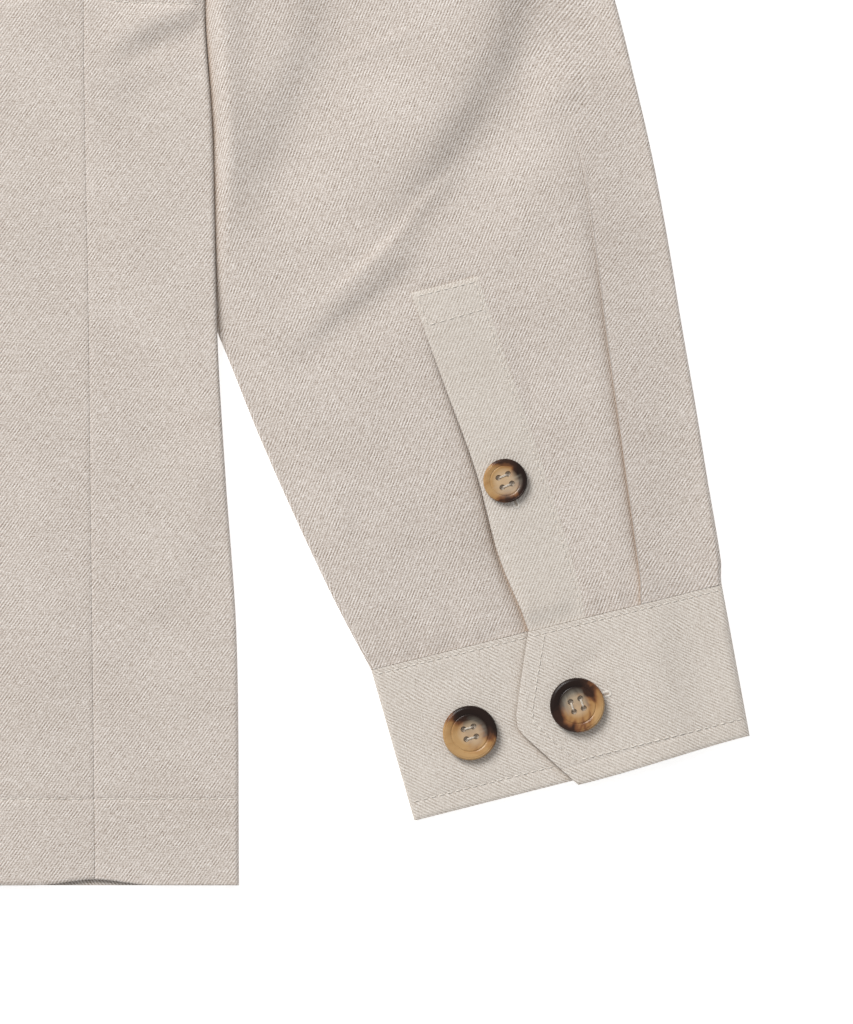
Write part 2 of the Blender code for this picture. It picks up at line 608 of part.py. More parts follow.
def button_mesh(width):
    """A turned button with a raised rim and four holes, worked out once for each size."""
    radius = width / 2
    profile = (
        (0, 0), (0.76, 0), (1, 0.13), (1, 0.27), (0.89, 0.36), (0.72, 0.26), (0, 0.26),
    )
    mesh = bpy.data.meshes.new("button")
    points = [(radius * r, 0, radius * z) for r, z in profile]
    mesh.from_pydata(points, [(n, n + 1) for n in range(len(points) - 1)], [])
    blank = bpy.data.objects.new("blank", mesh)
    jacket.objects.link(blank)
    turned = blank.modifiers.new("turned", "SCREW")
    turned.steps = turned.render_steps = 12
    turned.use_merge_vertices = True
    turned.merge_threshold = 0.00005
    turned.use_normal_calculate = True
    cutter = bpy.data.meshes.new("holes")
    form = bmesh.new()
    for n in range(4):
        angle = math.radians(45 + 90 * n)
        centre = Vector((math.cos(angle), math.sin(angle), 0.15)) * radius * 0.27
        place_at = Matrix.Translation((centre.x, centre.y, radius * 0.13))
        bmesh.ops.create_cone(
            form, cap_ends=True, segments=6, radius1=radius * 0.095, radius2=radius * 0.095,
            depth=radius, matrix=place_at,
        )
    form.to_mesh(cutter)
    form.free()
    holes = bpy.data.objects.new("holes", cutter)
    jacket.objects.link(holes)
    cut = blank.modifiers.new("holes", "BOOLEAN")
    cut.operation = "DIFFERENCE"
    cut.solver = "EXACT"
    cut.object = holes
    made = bpy.data.meshes.new_from_object(blank.evaluated_get(bpy.context.evaluated_depsgraph_get()))
    bpy.data.objects.remove(blank)
    bpy.data.objects.remove(holes)
    made.materials.clear()
    made.materials.append(horn)
    return made


def make_buttons(band):
    """Sews a button on at each place, a hair above the cloth that it closes."""
    meshes = {width: button_mesh(width) for width in (BUTTON_LARGE, BUTTON_SMALL)}

    def sew(name, x, y, cloth_top, width):
        button = place(name, meshes[width].copy(), horn)
        button.location = (x, y - MIDDLE, cloth_top + GAP)

    band_top = FRONT_TOP + 2 * STEP
    for n, y in enumerate(FRONT_BUTTONS, 1):
        sew(f"button_front_{n}", 0, y, band_top, BUTTON_LARGE)
    sew("button_stand", 0, STAND_BUTTON, STAND_FRONT_TOP, BUTTON_SMALL)
    cloth_tops = dict(
        button_placket=2 * SLEEVE_FOLD + PUFF + STEP, button_cuff_over=CUFF_TOP_HIGH, button_cuff_under=CUFF_TOP_LOW
    )
    for side, which in ((1, "left"), (-1, "right")):
        for spec in SLEEVE_BUTTONS:
            name = spec["name"]
            sew(f"{name}_{which}", side * spec["x"], spec["y"], cloth_tops[name], spec["width"])
        for pocket in POCKETS:
            if pocket["name"].startswith("flap"):
                name = pocket["name"].replace("flap", "button_flap")
                x = side * (pocket["left"] + pocket["right"]) / 2
                sew(f"{name}_{which}", x, pocket["bottom"] + FLAP_BUTTON_RISE, pocket["low"] + WALL, BUTTON_SMALL)


for old in list(bpy.data.objects):
    bpy.data.objects.remove(old, do_unlink=True)
jacket = bpy.data.collections.new("safari_jacket")
bpy.context.scene.collection.children.link(jacket)
twill = material("melange_twill", (0.60, 0.54, 0.48), 0.85, sheen=0.3)
horn = material("horn", (0.28, 0.17, 0.09), 0.25)

make_back()
front_band_rows = make_fronts()
make_sleeves()
make_cuffs()
make_stand()
make_leaf()
make_pockets()
make_buttons(front_band_rows)
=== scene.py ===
"""The looks of the safari jacket: each piece of cloth as a shell with its folds, weave and stitching.

The plan of the jacket is worked out as the part's source does it, from the middle of the hem, with X to
the wearer's left and Y up the body, and moved so that the origin is under the jacket's middle. Lengths are
in metres and angles in degrees, unless a line says otherwise.
"""

import math

import bmesh
import bpy
import numpy as np
from mathutils import Matrix, Vector
from mathutils.bvhtree import BVHTree


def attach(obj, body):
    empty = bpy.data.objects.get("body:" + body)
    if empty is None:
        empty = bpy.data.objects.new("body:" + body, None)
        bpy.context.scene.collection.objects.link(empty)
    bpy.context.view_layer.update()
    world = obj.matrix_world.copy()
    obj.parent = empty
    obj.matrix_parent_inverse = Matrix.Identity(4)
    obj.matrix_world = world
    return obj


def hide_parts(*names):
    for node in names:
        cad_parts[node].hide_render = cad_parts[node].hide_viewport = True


def table(keys, *rows):
    """Rows of values as dictionaries that share their keys."""
    return [dict(zip(keys.split(), row)) for row in rows]


# The photograph: its scale, and a point of it whose place on the jacket is known.
PHOTO_WIDTH, PHOTO_HEIGHT = 853, 1024
PX_PER_MM = 2.88
PHOTO_FOLD_X, PHOTO_HEM_Y = 239.0, 885.5  # the body's lower corner, in pixels
HEM_CORNER_X = 0.2700  # the same corner, from the jacket's middle
CAMERA_HEIGHT = 3.0

# Sizes that the solids share.
MIDDLE = 0.3675
WALL = 0.0010
GAP = 0.0003
STEP = WALL + GAP
ROOM = 0.0010
SIDE_ROOM = 0.0006
NECK_ROOM = 0.0003
LIFT = 0.0030
BODY_FOLD = 0.0013
SLEEVE_FOLD = 0.00125
CUFF_FOLD = 0.0014
BAND_HALF = 0.017
NECK = (0.080, 0.720)
SHOULDER = (0.232, 0.678)
ARMPIT = (0.2667, 0.452)
FRONT_NECK = 0.641
BACK_NECK = 0.700
ARMHOLE_PULLS = ((0.200, 0.425), (0.178, 0.560))
SIDE_SEAM_AT = 0.35
PIN = 0.440
HEM_DEPTH = 0.030
BODY_ROWS = (HEM_DEPTH, 0.3050, 0.3330)  # rows of stitches round the body: the hem and the waist
BUTTON_LARGE = 0.019
BUTTON_SMALL = 0.0153

# The body: its folded edge and its side seam, at heights from the hem.
BODY_EDGE = table(
    "y fold seam",
    (0.000, 0.2700, 0.2200), (0.085, 0.2692, 0.2190), (0.140, 0.2655, 0.2183), (0.190, 0.2626, 0.2178),
    (0.262, 0.2608, 0.2165), (0.305, 0.2582, 0.2160), (0.370, 0.2620, 0.2150), (0.452, 0.2680, 0.2148),
)
# Where a column of a front, and of half the back, stands at the hem and at the shoulder or neck.
FRONT_FAN = (
    (-0.017, -0.017), (0.017, 0.017), (0.046, 0.0485), (0.078, 0.0716), (0.110, 0.0800), (0.156, 0.146),
    (0.2148, 0.232),
)
BACK_FAN = ((0.0, 0.0), (0.055, 0.044), (0.110, 0.080), (0.145, 0.122), (0.178, 0.180), (0.2148, 0.232))
PANEL_FROM = 0.150  # columns of the body farther out follow the side seam
TUCK_RISE = (0.009, 0.036)  # from a tucked sleeve, where the body starts to come down and lies on the table
BAND_RUN = 0.013  # the left front comes down from the right one over this width beside the band
ROOM_RUNS = (0.018, 0.045)  # from the side seam and the neck, where the air under a front is full
HEM_RISE = 0.0021  # the front hem is drawn up so far at the side seam, over these widths
HEM_RISE_HALF, HEM_RISE_DEEP = 0.021, 0.010
HEM_PRESSED = 0.0003
UNDER_STAND = 0.0030  # how far the back runs on beneath the collar's stand
EDGE_FREE = (0.0002, 0.006)  # from the folded edge, where the body's folds start and are whole

# A sleeve: its outer edge, and sections from its inner edge with the shares across it of the placket's two
# edges and the pleat. The first section is the seam of the cuff. The last ones lie beside the armhole.
SLEEVE_OUTER = table(
    "y x",
    (0.0520, 0.4474), (0.0852, 0.4429), (0.1045, 0.4377), (0.1130, 0.4374), (0.1408, 0.4328), (0.1686, 0.4283),
    (0.1964, 0.4235), (0.2240, 0.4190), (0.2520, 0.4138), (0.2797, 0.4075), (0.3075, 0.4006), (0.3600, 0.3850),
    (0.4200, 0.3630), (0.4800, 0.3375), (0.5400, 0.3093), (0.6000, 0.2795), (0.6500, 0.2530), (0.6780, 0.2372),
)
SLEEVE_SECTIONS = table(
    "x y outer_y left right pleat",
    (0.3158, 0.0748, 0.1045, 0.450, 0.615, 0.775),
    (0.3030, 0.0990, 0.1330, 0.437, 0.618, 0.797),
    (0.2898, 0.1269, 0.1630, 0.449, 0.610, 0.815),
    (0.2765, 0.1570, 0.1980, 0.438, 0.593, 0.832),
    (0.2635, 0.1895, 0.2275, 0.426, 0.579, 0.847),
    (0.2505, 0.2190, 0.2620, 0.420, 0.580, 0.860),
    (0.2380, 0.2480, 0.2920, 0.420, 0.580, 0.850),
    (0.2260, 0.2770, 0.3250, 0.420, 0.580, 0.830),
    (0.2115, 0.3070, 0.3570, 0.420, 0.580, 0.800),
    (0.2040, 0.3450, 0.4000, 0.420, 0.580, 0.790),
    (0.2110, 0.3780, 0.4320, 0.420, 0.580, 0.790),
    (0.2280, 0.4100, 0.4550, 0.420, 0.580, 0.790),
    (0.2500, 0.4360, 0.4740, 0.420, 0.580, 0.790),
    (0.2680, 0.4520, 0.4860, 0.420, 0.580, 0.790),
)
MOUTH_SECTIONS = table(
    "stop outer_y",
    (0.06, 0.492), (0.13, 0.500), (0.22, 0.510), (0.35, 0.524), (0.46, 0.545), (0.57, 0.570), (0.68, 0.597),
    (0.79, 0.625), (0.90, 0.652), (1.00, 0.676),
)
CLOSED_SECTIONS = len(SLEEVE_SECTIONS) - 1  # the last section that is a whole tube
FINE_SECTIONS = 9  # the photograph shows the sections below this one
PUFF = 0.0034  # most air inside a sleeve
PUFF_RUN = (-0.0024, 0.0036)  # distances from the body's edge at which the air starts and is whole
NEST_CLEAR = 0.0001  # between the sleeve and the body's round side, against which it nestles
HOLD_OUT, HOLD_IN = (0.0055, 0.0005), -0.004  # distances from the body's edge between which it does so
HOLD_LOSS, WIDEST_GAPE = 0.45, 0.0012  # how much less it does so where it gapes most
# How far the sleeve stands off from the body's edge, in millimetres, at heights up the body.
SIDE_GAPE = ((0.180, 0.2), (0.215, 0.2), (0.238, 0.9), (0.262, 1.2), (0.281, 0.9), (0.296, 0.1), (0.450, 0.1))
SLEEVE_GRAIN = 13.5  # a sleeve's warp leans from the body's
SLEEVE_WEAVE = 0.965  # the sleeve's ribs are spread a little
LOWEST_TOP = 0.0013  # the top of a sleeve keeps clear of its underside
PUCKER, PUCKER_PITCH = 0.00028, 0.0125  # height and distance of the puckers along the cuff's seam
SEAM_SECTIONS = 2.4  # the sleeve comes down to the cuff over so many sections
SEAM_SUNK = 0.00005  # how far a sleeve's seam lies below the cuff's top
SEAM_SWELL = 0.00025  # how far the cloth beside that seam swells above it
# Where a row of the sleeve has its close columns: distances beneath the body's edge, shares of the way from
# that edge to the placket, and distances past the placket and from the pleat.
BENEATH = np.array([0.0016, 0.0012, 0.0008, 0.0005, 0.0003, 0.0001])
CLOSE_SHARES = (0, 0.005, 0.011, 0.018, 0.027, 0.039, 0.055, 0.075, 0.10)
BESIDE_PLACKET = np.array([0.0002, 0.0010])
BESIDE_PLEAT = np.array([-0.0010, -0.0004, -0.0001, 0.0, 0.0003, 0.0009, 0.0020])
SHORT_ROW = 0.09  # those columns draw together in rows that are shorter than this

# The pleat: the cloth past it lies over the cloth before it, and is turned, as the pleat takes up a wedge.
PLEAT_TURN = -11.5
PLEAT_RISE, PLEAT_RISE_FAR = 0.0004, 0.009  # how far the cloth past it is raised, and over what width
PLEAT_MADE = (5.6, 3.2)  # sections over which the pleat forms
PLEAT_PIVOT = 5.2  # the section about which the weave turns
PLEAT_DIP = dict(depth=0.0020, near=0.0013, far=0.0050)

# The placket, with the dip of the sleeve beside it along its edge in the photograph, deepest at the cuff.
PLACKET_TOP = 4.0  # the section at which it ends
PLACKET_CROSS = 3.62  # the section at which a row crosses it
PLACKET_WIDTH = 0.022
PLACKET_SUNK = 0.0007  # how far the sleeve lies below its own level under the placket
PLACKET_RISE, PLACKET_FALL = 0.0007, 0.00065  # its height above the sleeve's level, and its fall to the sewn edge
PLACKET_DIP = dict(
    path=((424, 320), (432, 362), (466, 440), (486, 525), (532, 648)), depths=(0.0002, 0.0012, 0.0020, 0.0025, 0.0040),
    near=0.0011, far=0.0060,
)

# A cuff: its corners, and the share across it at which it laps, at shares of its depth.
CUFF_INNER = ((0.3158, 0.0748), (0.3308, 0.0224))
CUFF_OUTER = ((0.4377, 0.1045), (0.4474, 0.0520))
CUFF_LAP = (
    (0.00, 0.447), (0.30, 0.392), (0.50, 0.356), (0.57, 0.352), (0.63, 0.364), (0.81, 0.422), (1.00, 0.484)
)
CUFF_DEPTH = 0.057
CUFF_TOP_LOW = 0.0028
CUFF_TOP_HIGH = 0.0043
CUFF_UNDER_END = 0.72  # share across at which the half beneath ends
CUFF_RAMP = (0.77, 0.92)  # shares between which the lapping half comes down to one layer
CUFF_ROW_TOP = 0.0018  # rows of stitches on a cuff, from its seam, its lower edge and its lapping end
CUFF_ROW_LOW = 0.0065
CUFF_ROW_END = 0.0062
CUFF_ROWS_APART = 0.055  # from the seam to the lower edge, as the grooves of the rows measure it
CUFF_SEWN_DEPTH, CUFF_SEWN_WIDTH = 0.0545, 0.122  # the cuff as its rows of stitches measure it
BESIDE_LAP = np.array([-0.0016, -0.0009, -0.0004, -0.0001, 0.0002])  # columns beside the lapping end
CUFF_CROWN, CUFF_CROWN_RUN = 0.0004, 0.009  # how far the cuff swells from its folds, and over what width
CUFF_DIP = 0.0009  # how far the half beneath is pressed down by the lapping half
CUFF_DIP_NEAR, CUFF_DIP_FAR = 0.0008, 0.0035
CUFF_DROP = 0.0019  # how far the lapping half hangs below the half beneath
CUFF_TIGHT = 0.00005  # the cuff's seam is drawn down so far clear of the sleeve

# The collar's stand and leaf, as the solids have them.
STAND_BACK = table(
    "crease seam",
    ((0.000, 0.7350), (0.0000, 0.7000)), ((0.025, 0.7345), (0.0270, 0.7015)), ((0.047, 0.7325), (0.0520, 0.7080)),
    ((0.060, 0.7300), (0.0680, 0.7150)), ((0.069, 0.7270), (0.0775, 0.7200)),
)
STAND_FRONT = table(
    "crease turn",
    ((0.0690, 0.7150), 78), ((0.0650, 0.6980), 66), ((0.0520, 0.6815), 48), ((0.0340, 0.6690), 26),
    ((0.0170, 0.6620), 0),
)
LEAF_BACK = table(
    "crease edge",
    ((0.000, 0.7350), (0.0000, 0.7025)), ((0.025, 0.7345), (0.0280, 0.7048)), ((0.048, 0.7325), (0.0560, 0.7125)),
    ((0.0635, 0.7310), (0.0800, 0.7235)), ((0.0710, 0.7300), (0.1030, 0.7245)),
)
LEAF_FRONT = table(
    "crease edge",
    ((0.0712, 0.7160), (0.1060, 0.7110)), ((0.0660, 0.6990), (0.1000, 0.6840)), ((0.0530, 0.6830), (0.0880, 0.6560)),
    ((0.0340, 0.6710), (0.0720, 0.6300)), ((0.0120, 0.6640), (0.0540, 0.6030)),
)
NECK_INSET = 0.0003  # from the fronts' neck to the stand's seam
STAND_LOW = WALL + GAP
STAND_TOP = STAND_LOW + 2 * WALL + GAP
STAND_CROSSES = (0.070, 0.030)  # the right end of the stand goes down a step between these
LEAF_CREASE_TOP = 0.0051
LEAF_EDGE_TOP = 0.0045
LEAF_ROW = 0.005  # from the leaf's edge to its row of stitches
COLLAR_CROWN, COLLAR_CROWN_LEVEL = 0.0003, 0.0012
COLLAR_TURN, COLLAR_TURN_LEVEL = 0.0004, 0.0020

# Patch pockets and their flaps, as the solids have them.
POCKETS = table(
    "name left right bottom top corner layer",
    ("pocket_lower", 0.036, 0.178, 0.075, 0.255, 0.014, 0),
    ("flap_lower", 0.036, 0.178, 0.205, 0.262, 0.010, 1),
    ("pocket_chest", 0.055, 0.175, 0.400, 0.530, 0.014, 0),
    ("flap_chest", 0.055, 0.175, 0.490, 0.536, 0.010, 1),
)
POCKET_FULL = 0.0005  # how much a pocket swells towards its middle

# Sizes of the cloth as it shows.
SHELL = 0.0006  # thickness of a single layer
FACED = 0.0010  # thickness of a cuff, band or collar
DOUBLE = 0.0008  # thickness of a pocket, flap or placket
EDGE_TURN = 0.0011  # width over which a folded edge turns down
GROOVE, GROOVE_HALF = 0.00022, 0.0007  # depth and half width of the cloth drawn in by a row of stitches
SEAM_GAP = 0.00005  # between the front and the back at the side seam
SEAM_TURN = 0.00016  # how far each is turned down there
BESIDE = (-0.0018, -0.0011, -0.0006, -0.00025, 0.0, 0.00025, 0.0006, 0.0011, 0.0018)  # rows beside an edge
CLOSEST = 0.00017  # least distance between rows
FOLD_STEPS = 7
CREASE_SHADE_REACH = 0.0008  # reach of the painted shade in a sleeve's crease
SIDE_SHADE, PLEAT_SHADE = 0.65, 0.8  # how strong the painted shade is beside the body and the pleat
SIDE_SHADE_FROM = (0.17, 0.19)  # heights between which it starts beside the body
RIPPLES, RIPPLE_LENGTHS = 7, (0.025, 0.075)  # waves that make up a soft unevenness
BODY_RIPPLE, CLOTH_RIPPLE = 0.00010, 0.00012  # its height on the body, and on sleeves and cuffs

STITCH_PITCH = 0.0029
STITCH_LENGTH = 0.0023
STITCH_WIDTH = 0.00042
STITCH_SPINE = ((-1, 0.35), (-0.86, 0.8), (-0.5, 1), (0, 1), (0.5, 1), (0.86, 0.8), (1, 0.35))
STITCH_CROWN, STITCH_SUNK = 0.00007, 0.00024
STITCH_SIDES = 6
SEAM_PITCH = 0.00125  # between the dark specks of painted shade where a seam is sewn from behind
EDGE_STITCH = 0.0016  # from an edge to the row beside it
BAND_ROW = EDGE_STITCH * 2
POCKET_ROW = EDGE_STITCH * 1.5
# Spots of painted shade for the needle's holes beside the stitches, and for those along a seam.
NEEDLE_SPOT = dict(long=0.00020, wide=0.00016, away=0.00028, rise=0.00005)
SEAM_SPOT = dict(long=0.00030, wide=0.00018, rise=0.00008)
BUTTONHOLE_HALF = 0.00085
BUTTONHOLE_RISE = 0.00016
SLIT_RISE = 0.00006

FRONT_BUTTONS = (0.075, 0.173, 0.271, 0.369, 0.467, 0.565)
STAND_BUTTON = 0.651
FLAP_BUTTON_RISE = 0.016
FRONT_HOLE, FLAP_HOLE = 0.021, 0.017  # lengths of the buttonholes
# The sleeve's buttons, with the turn of their holes and the horn that each is cut from, and its buttonholes.
SLEEVE_BUTTONS = table(
    "name on x y width turn horn",
    ("button_placket", "sleeve_placket", 0.3624, 0.1405, BUTTON_SMALL, 22, "placket"),
    ("button_cuff_over", "cuff", 0.3874, 0.0627, BUTTON_LARGE, 110, "over"),
    ("button_cuff_under", "cuff", 0.3502, 0.0530, BUTTON_LARGE, 16, "under"),
)
SLEEVE_HOLES = table(
    "on x y turn length", ("cuff", 0.3895, 0.0640, 17, 0.0200), ("sleeve_placket", 0.3634, 0.1388, -66, 0.0165)
)
# Where a button's horn turns dark and where it blooms grey, before the button is turned.
HORNS = table(
    "name dark bias grey seed",
    ("placket", -4, 0.02, -80, 1.3), ("over", 48, 0.04, 20, 4.1), ("under", 50, 0.0, -15, 7.7),
    ("plain", 60, -0.03, 200, 10.9),
)
# A button's outline from the middle of its back to the middle of its face, as shares of its radius.
BUTTON_PROFILE = (
    (0.30, 0.00), (0.70, 0.00), (0.86, 0.02), (0.95, 0.06), (0.99, 0.12), (1.00, 0.18), (0.99, 0.235),
    (0.965, 0.268), (0.935, 0.284), (0.918, 0.279), (0.90, 0.288), (0.86, 0.287), (0.80, 0.280), (0.74, 0.270),
    (0.708, 0.262), (0.694, 0.248), (0.680, 0.244), (0.666, 0.249), (0.652, 0.261), (0.63, 0.262), (0.60, 0.255),
    (0.50, 0.244), (0.35, 0.237), (0.15, 0.234),
)
BUTTON_FACE = 0.238
BUTTON_SIDES = 64
BUTTON_CLEAR = 0.0001
HOLE_AWAY = 0.00253  # from a button's middle
HOLE_RADIUS = 0.00092
HOLE_CUTS = ((-1, 1, 1.0), (0.19, 0.30, 1.45))  # through the button, and where the hole opens out at its face
HOLE_SIDES = 20
STRAND = 0.00017
STRAND_SIDES = 8
PLUG_DEPTH = 0.0013

# How each piece was cut, and what it lies on.
CUTS = table(
    "node pair width length on",
    ("back", False, 0.645, 0.725, ("sleeve_left", "sleeve_right")),
    ("front", True, 0.240, 0.725, ("back",)),
    ("front_band", False, 0.034, 0.645, ("front_left",)),
    ("sleeve", True, 0.430, 0.660, ()),
    ("sleeve_placket", True, 0.024, 0.150, ("sleeve",)),
    ("cuff", True, 0.340, 0.056, ()),
    ("collar", False, 0.440, 0.080, ("collar_stand",)),
    ("collar_stand", False, 0.440, 0.038, ("back",)),
    ("pocket_chest", True, 0.120, 0.130, ("front",)),
    ("pocket_lower", True, 0.142, 0.180, ("front",)),
    ("flap_chest", True, 0.120, 0.046, ("pocket_chest",)),
    ("flap_lower", True, 0.142, 0.057, ("pocket_lower",)),
)
SIDES = ((1, "left"), (-1, "right"))

# The cloth: its ribs, the parts of its weave with how often each changes in a millimetre and its share in the
# tone, and the colours of its yarns from the darkest to the palest.
CLOTH_MAP = "cloth_mm"
# the points' attribute that carries the shade painted into creases
CREASE_SHADE_MAP = "crease"
RIB_ANGLE = math.radians(54)
RIB_PITCH = 0.96  # millimetres
RIB_TONE, RIB_PATCHES, RIB_BEND = 0.125, 0.40, 0.45
PATCH_SCALE, FLECK_SCALE = (0.22, 0.30, 1), (0.75, 2.0, 1)
WEAVE = table(
    "part scale amount",
    ("weft", (0.45, 3.1, 1), 0.46), ("warp", (2.9, 0.45, 1), 0.36), ("fine", (3.0, 3.0, 1), 0.78),
    ("slub", (0.055, 2.1, 1), 0.15), ("cloud", (0.028, 0.05, 1), 0.08),
)
WEAVE_DEPTH = 0.00016
YARN = (
    (0.18, (0.205, 0.155, 0.120)), (0.36, (0.375, 0.318, 0.268)), (0.50, (0.520, 0.466, 0.415)),
    (0.64, (0.640, 0.592, 0.542)), (0.82, (0.780, 0.745, 0.700)),
)
FLECK, FLECK_SHARE = (0.20, 0.14, 0.10), 0.45
CREASE_SHADE, CREASE_SHADE_SHARE = (0.36, 0.235, 0.145), 0.8  # the warm shade painted into the colour deep in a crease, and its share there
THREAD = (0.64, 0.595, 0.54)
THREAD_SCALE, THREAD_DEPTH = (1900, 1900, 1900), 0.00008
COTTON = (0.55, 0.49, 0.415)
# painted shade for the needle's holes and the buttonholes' slits
HOLE_SHADE = (0.40, 0.335, 0.275)
HORN_SHADES = (
    (0.20, (0.400, 0.245, 0.108)), (0.44, (0.310, 0.165, 0.062)), (0.56, (0.150, 0.060, 0.023)),
    (0.67, (0.034, 0.014, 0.008)), (0.90, (0.012, 0.005, 0.003)),
)
HORN_PALE = (0.510, 0.390, 0.262)  # the dished middle
HORN_GREY = (0.420, 0.380, 0.310)
BLACK, WHITE = (0, 0, 0), (1, 1, 1)

# The studio.
SENSOR = 36.0
FLOOR = 6.0
FLOOR_LEVEL = -0.0002
FLOOR_GLOW = 0.6
SKY = 0.50
CLOTH_LEVEL = 0.003
WINDOW = dict(turn=130, rise=40, away=6.0, size=3.4, power=430.0, colour=(1.0, 0.985, 0.965))

# Folds of the cloth, as the photograph shows them: the path in its pixels, the height of the ridge or,
# below nothing, the depth of the valley, its width to the left and right of the path, in millimetres, and
# the share of the path over which each end dies out.
FOLD = "path rise left right ends"
SLEEVE_FOLDS = table(
    FOLD,
    (((468, 164), (440, 184), (416, 208), (388, 244), (345, 283), (310, 313)), 0.8, 4.0, 0.9, (0.3, 0.4)),
    (((585, 40), (545, 130), (500, 215)), 0.8, 18, 12, (0.3, 0.3)),
    (((430, 18), (385, 42), (330, 60)), 0.25, 3.0, 0.7, (0.3, 0.3)),
    (((330, 180), (322, 300), (352, 430), (395, 560)), 0.3, 12, 12, (0.4, 0.4)),
    (((560, 250), (580, 420), (612, 600)), -0.3, 8, 8, (0.35, 0.2)),
    (((400, 478), (436, 540), (480, 600)), -0.45, 3, 5, (0.3, 0.3)),
    (((350, 640), (385, 560), (405, 480)), 0.4, 8, 9, (0.3, 0.4)),
)
CUFF_FOLDS = table(
    FOLD,
    (((564, 678), (588, 662), (614, 648)), -0.55, 2.2, 3.4, (0.3, 0.4)),
    (((640, 608), (652, 660), (668, 740)), 0.30, 7, 7, (0.3, 0.3)),
    (((726, 600), (732, 660), (742, 730)), 0.35, 5, 5, (0.3, 0.3)),
    (((388, 690), (420, 684), (470, 672)), -0.20, 3, 5, (0.4, 0.4)),
    (((505, 660), (500, 720), (520, 760)), -0.25, 5, 5, (0.3, 0.3)),
    (((400, 790), (460, 770), (520, 765)), 0.20, 4, 4, (0.3, 0.3)),
)
BODY_FOLDS = table(
    FOLD,
    (((60, 60), (140, 75), (210, 90)), 0.3, 8, 8, (0.4, 0.4)),
    (((150, 60), (160, 300), (170, 560)), -0.25, 12, 12, (0.4, 0.4)),
)
# Folds of the rest of the body, which the photograph leaves out, with paths on the jacket.
HIDDEN_FOLDS = table(
    FOLD,
    (((0.205, 0.470), (0.165, 0.400), (0.150, 0.320)), 0.8, 12, 12, (0.4, 0.4)),
    (((0.215, 0.600), (0.170, 0.575), (0.110, 0.560)), 0.5, 10, 10, (0.4, 0.4)),
    (((0.030, 0.450), (0.060, 0.380), (0.060, 0.300)), -0.5, 12, 12, (0.4, 0.4)),
    (((0.190, 0.200), (0.205, 0.100), (0.200, 0.010)), 0.4, 12, 12, (0.4, 0.4)),
)
# Slopes that fall to the left of a path as it is followed: the fall and half its width in millimetres, and
# how far the cloth takes to level out again.
SLOPE = "path fall half reach ends"
SLEEVE_SLOPES = table(
    SLOPE,
    (((524, -40), (502, 50), (474, 112), (440, 162), (406, 204), (372, 246)), 7.0, 8.0, 30, (0.05, 0.45)),
    (((508, 10), (512, 90), (520, 158)), 1.0, 1.6, 9, (0.3, 0.4)),
    (((424, 218), (406, 262), (372, 292), (335, 318), (300, 352), (278, 386)), 2.2, 3.4, 14, (0.3, 0.5)),
    (((322, -60), (306, 50), (278, 112), (262, 170), (248, 222), (216, 262)), 5.0, 10.0, 26, (0.1, 0.40)),
    (((240, -80), (238, 60), (236, 160), (228, 250)), 3.4, 7.0, 26, (0.1, 0.3)),
    (((600, 80), (560, 105), (520, 150)), 0.7, 4.0, 14, (0.3, 0.3)),
    (((482, 298), (506, 330), (520, 385), (536, 450)), 0.7, 1.6, 7, (0.3, 0.4)),
    (((560, 205), (520, 245), (500, 290)), 0.6, 4.0, 12, (0.3, 0.3)),
    (((345, 470), (352, 540), (372, 610)), 0.5, 3.0, 12, (0.4, 0.3)),
)
BODY_SLOPES = table(
    SLOPE,
    (((250, 10), (206, 20), (165, 30), (130, 46), (96, 72)), 4.2, 2.6, 10, (0.05, 0.4)),
    (((226, 50), (180, 62), (140, 78), (96, 108)), 1.2, 3.0, 10, (0.2, 0.4)),
    (((236, 490), (190, 575), (140, 640), (90, 700)), 0.6, 4.5, 15, (0.2, 0.4)),
    (((120, 190), (60, 240), (-10, 270)), 0.4, 4.0, 14, (0.3, 0.3)),
)

tops = {}  # each cloth's outer face, for finding heights on it
stitches = {}  # places of stitches, under a piece's node and the kind of stitch
extras = {}  # objects sewn on to a piece, under its node


def smooth(start, end, at):
    """An even rise from 0 at start to 1 at end, for one value or many."""
    share = np.clip((np.asarray(at, float) - start) / (end - start), 0, 1)
    return share * share * (3 - 2 * share)


def spot(x_px, y_px):
    """The place on the jacket, from the middle of the hem, of a pixel of the photograph."""
    x = HEM_CORNER_X + (x_px - PHOTO_FOLD_X) / PX_PER_MM / 1000
    return x, (PHOTO_HEM_Y - y_px) / PX_PER_MM / 1000


def curve(knots, values, at):
    """Values on a smooth curve that passes through each knot."""
    knots, values = np.asarray(knots, float), np.asarray(values, float)
    at = np.asarray(at, float)
    before, after = np.roll(values, 1, 0), np.roll(values, -1, 0)
    k_before, k_after = np.roll(knots, 1), np.roll(knots, -1)
    before[0], after[-1], k_before[0], k_after[-1] = values[0], values[-1], knots[0], knots[-1]
    span = (k_after - k_before).reshape(-1, *[1] * (values.ndim - 1))
    slope = (after - before) / span
    n = np.clip(np.searchsorted(knots, at, "right") - 1, 0, len(knots) - 2)
    width = knots[n + 1] - knots[n]
    t = (at - knots[n]) / width
    if values.ndim > 1:
        t, width = t[..., None], width[..., None]
    return (
        (2 * t**3 - 3 * t**2 + 1) * values[n] + (t**3 - 2 * t**2 + t) * width * slope[n]
        + (3 * t**2 - 2 * t**3) * values[n + 1] + (t**3 - t**2) * width * slope[n + 1]
    )


def listed(rows, key):
    """One column of a table."""
    return [row[key] for row in rows]


def through(rows, key, at):
    """A column's values at heights, on a smooth curve through a table's rows."""
    return curve(listed(rows, "y"), listed(rows, key), at)


def armhole(share):
    """The armhole's edge in plan, from the armpit at 0 to the shoulder at 1."""
    share = np.asarray(share, float)[..., None]
    points = [np.array(p) for p in (ARMPIT, *ARMHOLE_PULLS, SHOULDER)]
    weights = ((1 - share) ** 3, 3 * share * (1 - share) ** 2, 3 * share**2 * (1 - share), share**3)
    return sum(w * p for w, p in zip(weights, points))


